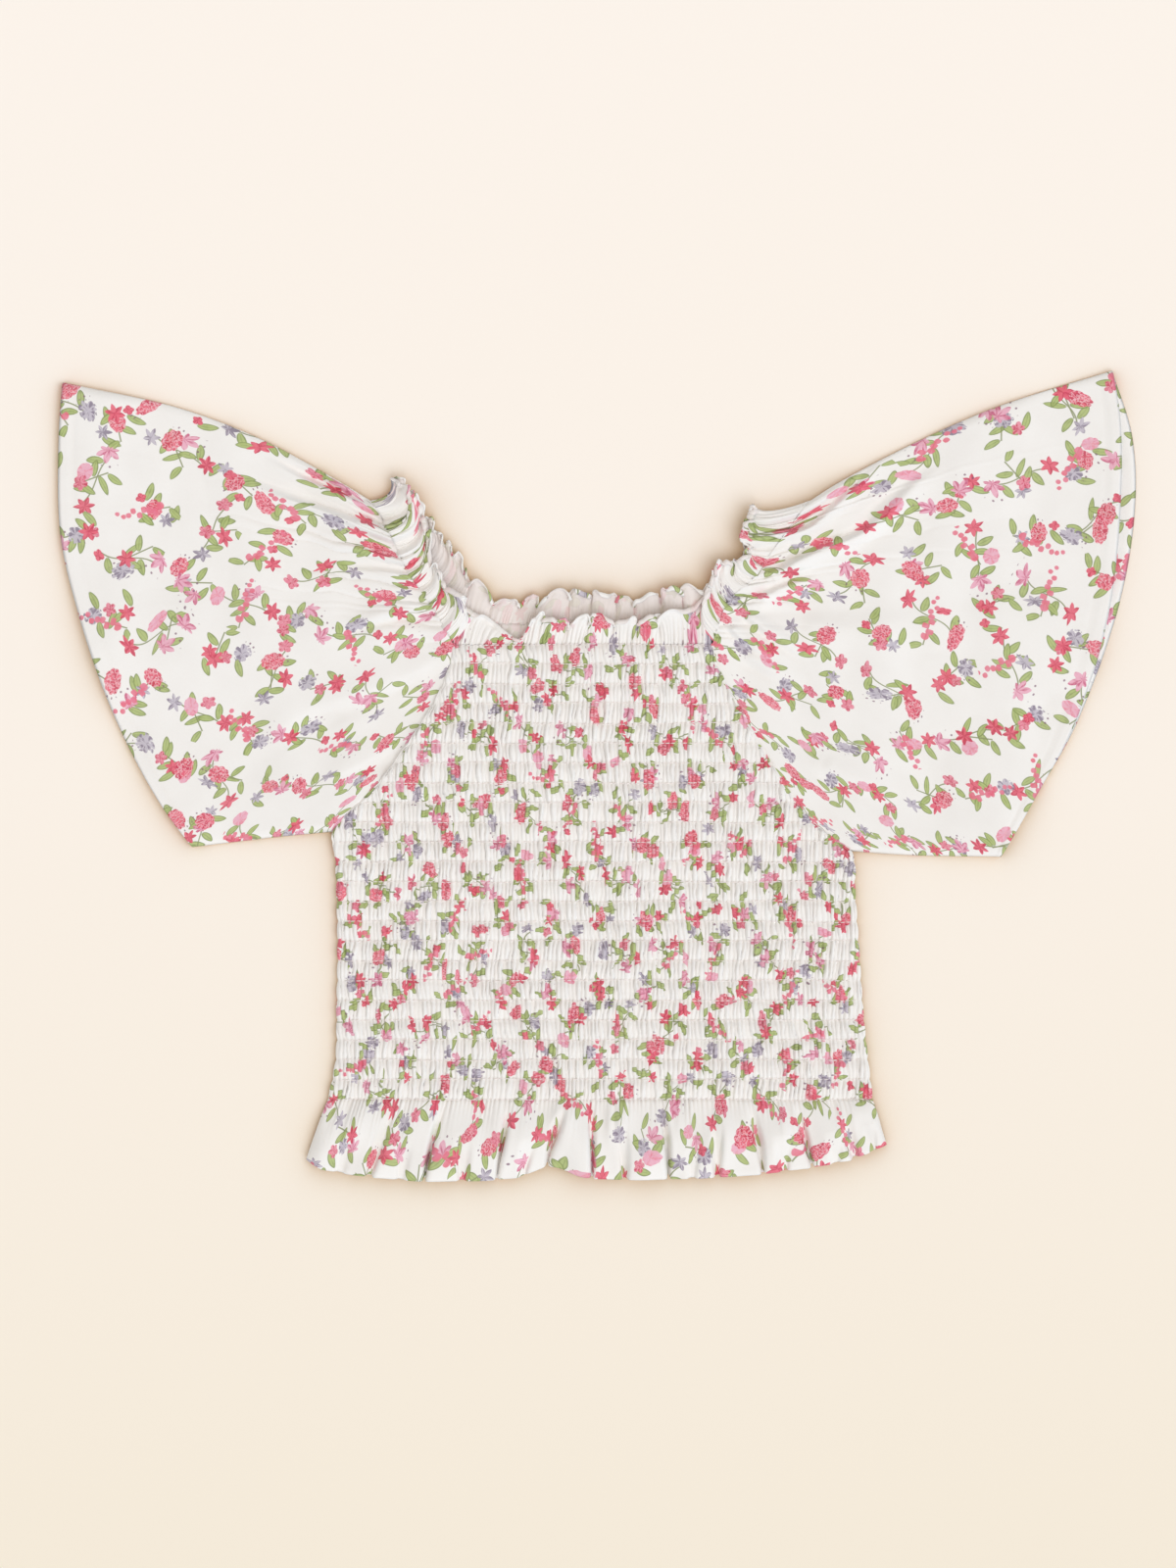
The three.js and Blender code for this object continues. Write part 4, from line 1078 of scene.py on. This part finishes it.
class Print:
    """Flowers, leaves and stems over the flat cloth, each kind of sprig on a lattice of its own.

    A sprig is drawn in its cell's own coordinates, turned at random. color is the print so far.
    """

    CELL = 44.0

    def __init__(self, tree, u, v):
        self.tree = tree
        self.u = u
        self.v = v
        self.color = WHITE_CLOTH
        self.ragged = (noise(tree, combine(tree, u, v), 0.55, 3.0) - 0.5) * 1.5
        self.wash = noise(tree, combine(tree, u, v, 7.0), 0.32, 2.0)
        self.scribble = (noise(tree, combine(tree, u, v, 19.0), 0.62, 1.0) - 0.5).math("ABSOLUTE")

    def paint(self, mask, color):
        self.color = blend(self.tree, mask, self.color, color)

    def lattice(self, cell, offset, angle, seed, jitter):
        """Local coordinates in the nearest cell, and four numbers drawn for it."""
        tree = self.tree
        cosine, sine = math.cos(angle) / cell, math.sin(angle) / cell
        p = self.u * cosine + self.v * sine + offset / cell
        q = self.v * cosine - self.u * sine + offset / cell
        i, j = p.math("FLOOR"), q.math("FLOOR")
        fourth, color = read_all(tree, "ShaderNodeTexWhiteNoise", {"Vector": combine(tree, i, j, seed)})
        first, second, third = read_all(tree, "ShaderNodeSeparateColor", {"Color": color})
        x = (p - i - 0.5) * cell + (first - 0.5) * jitter
        y = (q - j - 0.5) * cell + (second - 0.5) * jitter
        return x, y, (first, second, third, fourth)

    @staticmethod
    def turned(x, y, turn):
        cosine, sine = turn.math("COSINE"), turn.math("SINE")
        return x * cosine + y * sine, y * cosine - x * sine

    def kinds(self, draw, parts):
        """Parts of the flower table, as a colour ramp with steps, so that one drawn number picks a row."""
        node = add_node(self.tree, "ShaderNodeValToRGB", {"Fac": draw})
        ramp = node.color_ramp
        ramp.interpolation = "CONSTANT"
        start = 0.0
        for k, kind in enumerate(FLOWERS):
            element = ramp.elements[k] if k < 2 else ramp.elements.new(start)
            element.position = start
            element.color = parts(kind)
            start += kind["share"]
        return [Value(self.tree, output) for output in node.outputs]

    def numbers(self, draw, names):
        """Four columns of the flower table, for the row that draw picks."""
        names = names.split()
        color, last = self.kinds(draw, lambda kind: [kind[name] / MOST.get(name, 1) for name in names])
        return *read_all(self.tree, "ShaderNodeSeparateColor", {"Color": color}), last

    def flower(self, x, y, draw, spin, size):
        """One flower at the middle of x and y. draw picks its kind, and spin turns it."""
        tree = self.tree
        petals, notch, radius, florets = self.numbers(draw, "petals notch radius florets")
        point, narrow, lean, lines = self.numbers(draw, "point narrow lean lines")
        light, dotted = self.kinds(draw, lambda kind: (*kind["light"][:3], kind["dots"]))
        dark, _ = self.kinds(draw, lambda kind: kind["dark"])
        radius = radius * (MOST["radius"] * size)
        across, up = self.turned(x, y, spin)
        up = up / narrow
        across = across + radius * lean * 0.4
        distance = (across * across + up * up).math("SQRT")
        angle = up.math("ARCTAN2", across)
        half_turn = angle * petals * (MOST["petals"] / 2)
        blunt = 1.0 - half_turn.math("COSINE").math("ABSOLUTE")
        sharp = half_turn.math("SINE").math("ABSOLUTE")
        dip = blunt + (sharp - blunt) * point
        opening = 1.0 - (1.0 - across / (distance + 0.01)) * lean * 0.5
        edge = radius * opening * (1.0 - notch * dip)
        inside = distance / edge
        spokes = combine(tree, across / distance * 2.6, up / distance * 2.6, distance * 0.16 + draw * 30.0)
        streaks = noise(tree, spokes, 0.9, 1.0)
        place = combine(tree, x, y, draw)
        floret = read("Distance", tree, "ShaderNodeTexVoronoi", {"Vector": place, "Scale": 0.45})
        shade = (streaks - 0.48) * 6.4 + (inside - 0.75).within(0.0, 0.25) * 1.4
        shade = shade + (0.3 - inside).within(0.0, 0.3) * 1.8
        shade = shade + florets * (1.0 - floret * 2.4) + (self.wash - 0.5)
        color = blend(tree, shade.within(0.0, 0.85), light, dark)
        color = blend(tree, (0.05 - self.scribble).mask(0.06) * lines * 0.8, color, PALE_PINK)
        gaps = florets * (floret - 0.5).within(0.0, 1.0) * 2.6
        mask = (edge + self.ragged * 0.45 - distance - gaps * radius * 0.5).mask(0.4)
        self.paint(mask * 0.95, color)
        ring = distance - radius * 1.22
        spoke = ((angle * 2.2).math("FRACT") - 0.5) * distance * 0.45
        to_dot = (ring * ring + spoke * spoke).math("SQRT")
        self.paint((0.58 - to_dot).mask(0.3) * (across / distance - 0.8).mask(0.05) * dotted * 0.8, DOT)

    def leaf(self, x, y, long, wide):
        """One pointed leaf from the middle of x and y along x, with a darker rim and rib."""
        share = (x / long).within(0.0, 1.0)
        aside = (y - share * (1.0 - share) * 1.6).math("ABSOLUTE")
        half = (share ** 0.7) * ((1.0 - share) ** 0.8) * (wide * 1.62)
        inside = half - aside + self.ragged * 0.12
        rim = (0.6 - inside).mask(0.45) * 0.8 + (0.22 - aside).mask(0.3) * 0.4 + (self.wash - 0.5) * 1.2
        color = blend(self.tree, rim.within(0.0, 0.85), LEAF_GREEN, LEAF_DARK)
        on_leaf = (share * (1.0 - share) * 12.0).within(0.0, 1.0)
        self.paint((inside - 0.08).mask(0.32) * on_leaf * 0.96, color)

    def leaves(self, x, y, pitch, slant, long, wide):
        """Three leaves along a stem on the x axis, by turns on its two sides."""
        count = (x / pitch).math("ROUND").within(-1.0, 1.0)
        even = (count * 0.5).math("FRACT").math("ABSOLUTE")
        side = 1.0 - even * 4.0
        local_x = x - count * pitch + 0.32 * pitch
        local_y = y * side - 0.3
        cosine, sine = math.cos(math.radians(slant)), math.sin(math.radians(slant))
        self.leaf(local_x * cosine + local_y * sine, local_y * cosine - local_x * sine, long, wide)

    def stem(self, x, y, reach):
        line = (0.36 - y.math("ABSOLUTE")).mask(0.3) * (reach - x.math("ABSOLUTE")).mask(0.3)
        self.paint(line * 0.9, STEM_GREEN)

    def berries(self, x, y, draws, shows):
        """A spray of berries in two rows that narrows along x."""
        pitch = 2.7
        count = (x / pitch).math("ROUND").within(-6.0, 2.0)
        zigzag = (count * 2.4 + draws[1] * 6.0).math("SINE") * 1.5
        away_x, away_y = x - count * pitch, y - zigzag
        distance = (away_x * away_x + away_y * away_y).math("SQRT")
        size = 1.9 + count * 0.13
        shape = (size - distance + self.ragged * 0.5).mask(0.4) * shows
        self.paint(shape * 0.92, blend(self.tree, (self.wash * 3.0 - 1.1).within(0.0, 1.0), ROSE, CORAL))

    def draw(self):
        """Vines with a flower at each end and beside their middle, posies of three, and single flowers."""
        x, y, vine = self.lattice(self.CELL, 0.0, 0.0, 1.0, 4.0)
        quarter = (vine[2] * 4.0).math("FLOOR") * (math.pi / 2) + math.pi / 4
        x, y = self.turned(x, y, quarter + (vine[0] - 0.5) * 0.8)
        vine_x, vine_y = x, y - (x * (TURN / 40)).math("SINE") * 3.6 * (vine[3] + 0.4)
        x, y, posy = self.lattice(self.CELL, self.CELL / 2, 0.0, 2.0, 6.0)
        posy_x, posy_y = self.turned(x, y, posy[2] * TURN)
        diagonal = self.CELL / math.sqrt(2)
        x, y, single = self.lattice(diagonal, diagonal / 2, math.pi / 4, 3.0, 7.0)
        x, y = self.turned(x, y, single[2] * TURN)

        self.stem(vine_x, vine_y, 15.0)
        self.leaves(vine_x, vine_y, *LEAVES["vine"])
        self.leaves(posy_x, posy_y, *LEAVES["posy"])
        self.stem(x - 4.0, y, 6.5)
        self.leaves(x - 5.0, y, *LEAVES["single"])

        slot = (vine_x / 15.0).math("ROUND").within(-1.0, 1.0)
        pick = (vine[3] * 7.3 + slot * 0.37 + 0.5).math("FRACT")
        flower_y = vine_y - slot * 2.0 + (1.0 - slot * slot) * 7.0
        self.flower(vine_x - slot * 14.5, flower_y, pick, vine[1] * 6.3 + slot * 2.0, 0.94)
        slot = (posy_x / 8.4).math("ROUND").within(-1.0, 1.0)
        pick = (posy[3] * 5.1 + slot * 0.41 + 0.5).math("FRACT")
        flower_y = posy_y + slot * slot * (posy[0] * 5.0 - 2.5)
        self.flower(posy_x - slot * 8.6, flower_y, pick, posy[1] * 6.3 + slot * 1.7, 0.84)
        is_spray = single[0].math("GREATER_THAN", 0.7)
        self.berries(x, y, single, is_spray)
        past_cell = is_spray * 60.0  # a spray has no flower, so its flower goes to where it doesn't show
        self.flower(x + 4.5 + past_cell, y, single[3], single[1] * 6.3, 0.95)


def new_material(name):
    material = bpy.data.materials.new(name)
    material.use_nodes = True
    tree = material.node_tree
    shader = next(node for node in tree.nodes if node.type == "BSDF_PRINCIPLED")
    return material, tree, shader


def cloth_material(name, tint, show):
    """Soft woven viscose with the print. show is how much of the print comes through to this face."""
    material, tree, shader = new_material(name)
    place = read("UV", tree, "ShaderNodeUVMap", uv_map="cloth")
    u, v, _ = read_all(tree, "ShaderNodeSeparateXYZ", {"Vector": place})
    design = Print(tree, u, v)
    design.draw()
    color = blend(tree, 1.0 - show, design.color, tint)
    weave = (u * 11.0).math("SINE") * (v * 11.0).math("SINE")
    slubs = noise(tree, place, 0.9, 3.0)
    cloud = noise(tree, place, 0.05, 2.0)
    dull = (slubs - 0.5) * 0.10 + (cloud - 0.5) * 0.2 + weave * 0.015 + 0.05
    relief = weave * 0.4 + slubs * 0.6
    bump = {"Height": relief, "Strength": 0.25, "Distance": 0.0002}
    plug_all(tree, shader, {
        "Base Color": blend(tree, dull.within(0.0, 1.0), color, DULL_CLOTH),
        "Roughness": 0.85,
        "Specular IOR Level": 0.25,
        "Sheen Weight": 0.06,
        "Sheen Roughness": 0.5,
        "Normal": read("Normal", tree, "ShaderNodeBump", bump),
    })
    return material


def thread_material():
    material, tree, shader = new_material("white_thread")
    strands = noise(tree, read("Object", tree, "ShaderNodeTexCoord"), 4000.0, 2.0)
    plug_all(tree, shader, {"Base Color": blend(tree, strands, THREAD_LIGHT, THREAD_DARK), "Roughness": 0.7})
    return material


def floor_material():
    """Cream paper, warmer and darker toward the near edge as painted light fall-off, with a painted tan
    shadow by the cloth.
    """
    painted_shadow_reach = 0.03  # metres from the cloth within which the paper is painted with a tan shadow
    painted_shadow_strength = 1.45
    material, tree, shader = new_material("cream_paper")
    place = read("Object", tree, "ShaderNodeTexCoord")
    _, y, _ = read_all(tree, "ShaderNodeSeparateXYZ", {"Vector": place})
    # Painted light fall-off: the paper darkens and warms from the far edge to the near one.
    down = (0.5 - y * 1.15).within(0.0, 1.0)
    color = blend(tree, (down * 2.0).within(0.0, 1.0), PAPER_FAR, PAPER_MIDDLE)
    color = blend(tree, (down * 2.0 - 1.0).within(0.0, 1.0), color, PAPER_NEAR)
    grain = noise(tree, place, 700.0, 3.0)
    color = blend(tree, (grain - 0.5).within(0.0, 1.0) * 0.05, color, PAPER_GRAIN)
    # Painted shadow: where the ambient occlusion node finds cloth close by, the paper is painted toward tan.
    open_sky = read("AO", tree, "ShaderNodeAmbientOcclusion", {"Distance": painted_shadow_reach}, samples=12)
    color = blend(tree, ((1.0 - open_sky) * painted_shadow_strength).within(0.0, 0.9), color, PAPER_PAINTED_SHADOW)
    plug_all(tree, shader, {"Base Color": color, "Roughness": 0.9, "Specular IOR Level": 0.1})
    return material


# ---------- The scene ----------

VIEW_HEIGHT = 0.8  # metres of floor from the bottom of the picture to its top
VIEW_CENTER = (-0.0047, -0.0043)  # the place on the floor that the camera stands over
CAMERA_HEIGHT = 2.0
SENSOR = 36.0
FLOOR_REACH = 3.0  # metres of floor on each side
LOW_LIGHT = (0.64, 0.82, 0.97, 1.0)  # the room's light from near the floor, and from overhead
HIGH_LIGHT = (0.58, 0.42, 0.26, 1.0)
SUN_ENERGY = 1.69
SUN_WIDTH = math.radians(58)
SUN_COLOR = (0.81, 0.9, 1.0)
SUN_TILT = math.radians(20)


def add_camera():
    data = bpy.data.cameras.new("camera")
    data.sensor_width = SENSOR
    data.lens = SENSOR * CAMERA_HEIGHT / VIEW_HEIGHT
    camera = add_object("camera", data)
    camera.location = (*VIEW_CENTER, CAMERA_HEIGHT)
    bpy.context.scene.camera = camera


def add_floor():
    mesh = bpy.data.meshes.new("floor")
    corners = [(x * FLOOR_REACH, y * FLOOR_REACH, 0) for x, y in ((-1, -1), (1, -1), (1, 1), (-1, 1))]
    mesh.from_pydata(corners, [], [(0, 1, 2, 3)])
    mesh.materials.append(floor_material())
    floor = add_object("floor", mesh)


def add_lights():
    world = bpy.data.worlds.new("world")
    world.use_nodes = True
    tree = world.node_tree
    background = next(node for node in tree.nodes if node.type == "BACKGROUND")
    way = read("Generated", tree, "ShaderNodeTexCoord")
    _, _, up = read_all(tree, "ShaderNodeSeparateXYZ", {"Vector": way})
    sky = blend(tree, up.within(0.0, 1.0), LOW_LIGHT, HIGH_LIGHT)
    plug_all(tree, background, {"Color": sky, "Strength": 1.0})
    bpy.context.scene.world = world
    data = bpy.data.lights.new("softbox", "SUN")
    data.energy = SUN_ENERGY
    data.angle = SUN_WIDTH
    data.color = SUN_COLOR
    lamp = add_object("softbox", data)
    lamp.rotation_euler = (SUN_TILT, SUN_TILT, 0)


def wear(piece, node, slot, **sheet):
    """The piece stands for a solid, in the part's one body. sheet, which says how its cloth was cut and is
    held, is not used.
    """
    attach(piece, "root")
    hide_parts(node)


add_camera()
bpy.context.scene.view_settings.view_transform = "Standard"

printed = cloth_material("printed_cloth", WHITE_CLOTH, 1.0)
inner_face = cloth_material("cloth_inside", INNER_CLOTH, 0.14)
thread = thread_material()

rows = elastic_rows(thread)
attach(rows, "root")
front = front_panel(printed)
wear(
    front, "body_front", "printed_cloth",
    flat=(0.499, 0.278), area=0.12, held="gathered", rests_on=["back_panel"], with_pieces=[rows],
)
back = back_panel(printed, inner_face)
wear(back, "body_back", "printed_cloth", flat=(0.3, 0.28), area=0.08, held="gathered", rests_on=["floor"])
front_frill = neck_frill(
    "neck_ruffle_front_cloth", FRONT_NECK_ROW, NECK_FRILL_FRONT, [printed, inner_face],
    root_height=lambda x: front_height(x, 0.0), edge_height=3.2, rise=6.6, seed=21,
)
wear(
    front_frill, "neck_ruffle_front", "printed_cloth",
    flat=(0.237, 0.017), held="gathered", rests_on=["front_panel"],
)
back_frill = neck_frill(
    "neck_ruffle_back_cloth", BACK_NECK_ROW, NECK_FRILL_BACK, [inner_face, printed],
    root_height=lambda x: 1.8 + 0 * x, edge_height=0.9, rise=5.2, seed=31,
)
wear(
    back_frill, "neck_ruffle_back", "cloth_inside",
    flat=(0.236, 0.016), held="gathered", rests_on=["back_panel"],
)
front_hem = hem_ruffle_front(printed)
wear(
    front_hem, "hem_ruffle_front", "printed_cloth",
    flat=(0.499, 0.042), held="gathered", rests_on=["hem_ruffle_back_cloth"],
)
back_hem = hem_ruffle_back(printed, inner_face)
wear(back_hem, "hem_ruffle_back", "printed_cloth", flat=(0.36, 0.04), held="gathered", rests_on=["floor"])
for side, seed in (("left", 101), ("right", 131)):
    wear(
        sleeve_tube(side, printed, seed), f"sleeve_{side}", "printed_cloth",
        flat=(0.49, 0.19), area=0.085, held="gathered", rests_on=["floor"],
    )
    wear(
        sleeve_frill(side, [printed, inner_face], seed), f"sleeve_ruffle_{side}", "printed_cloth",
        flat=(0.32, 0.017), held="gathered", rests_on=[f"sleeve_{side}_cloth"],
    )

add_floor()
add_lights()
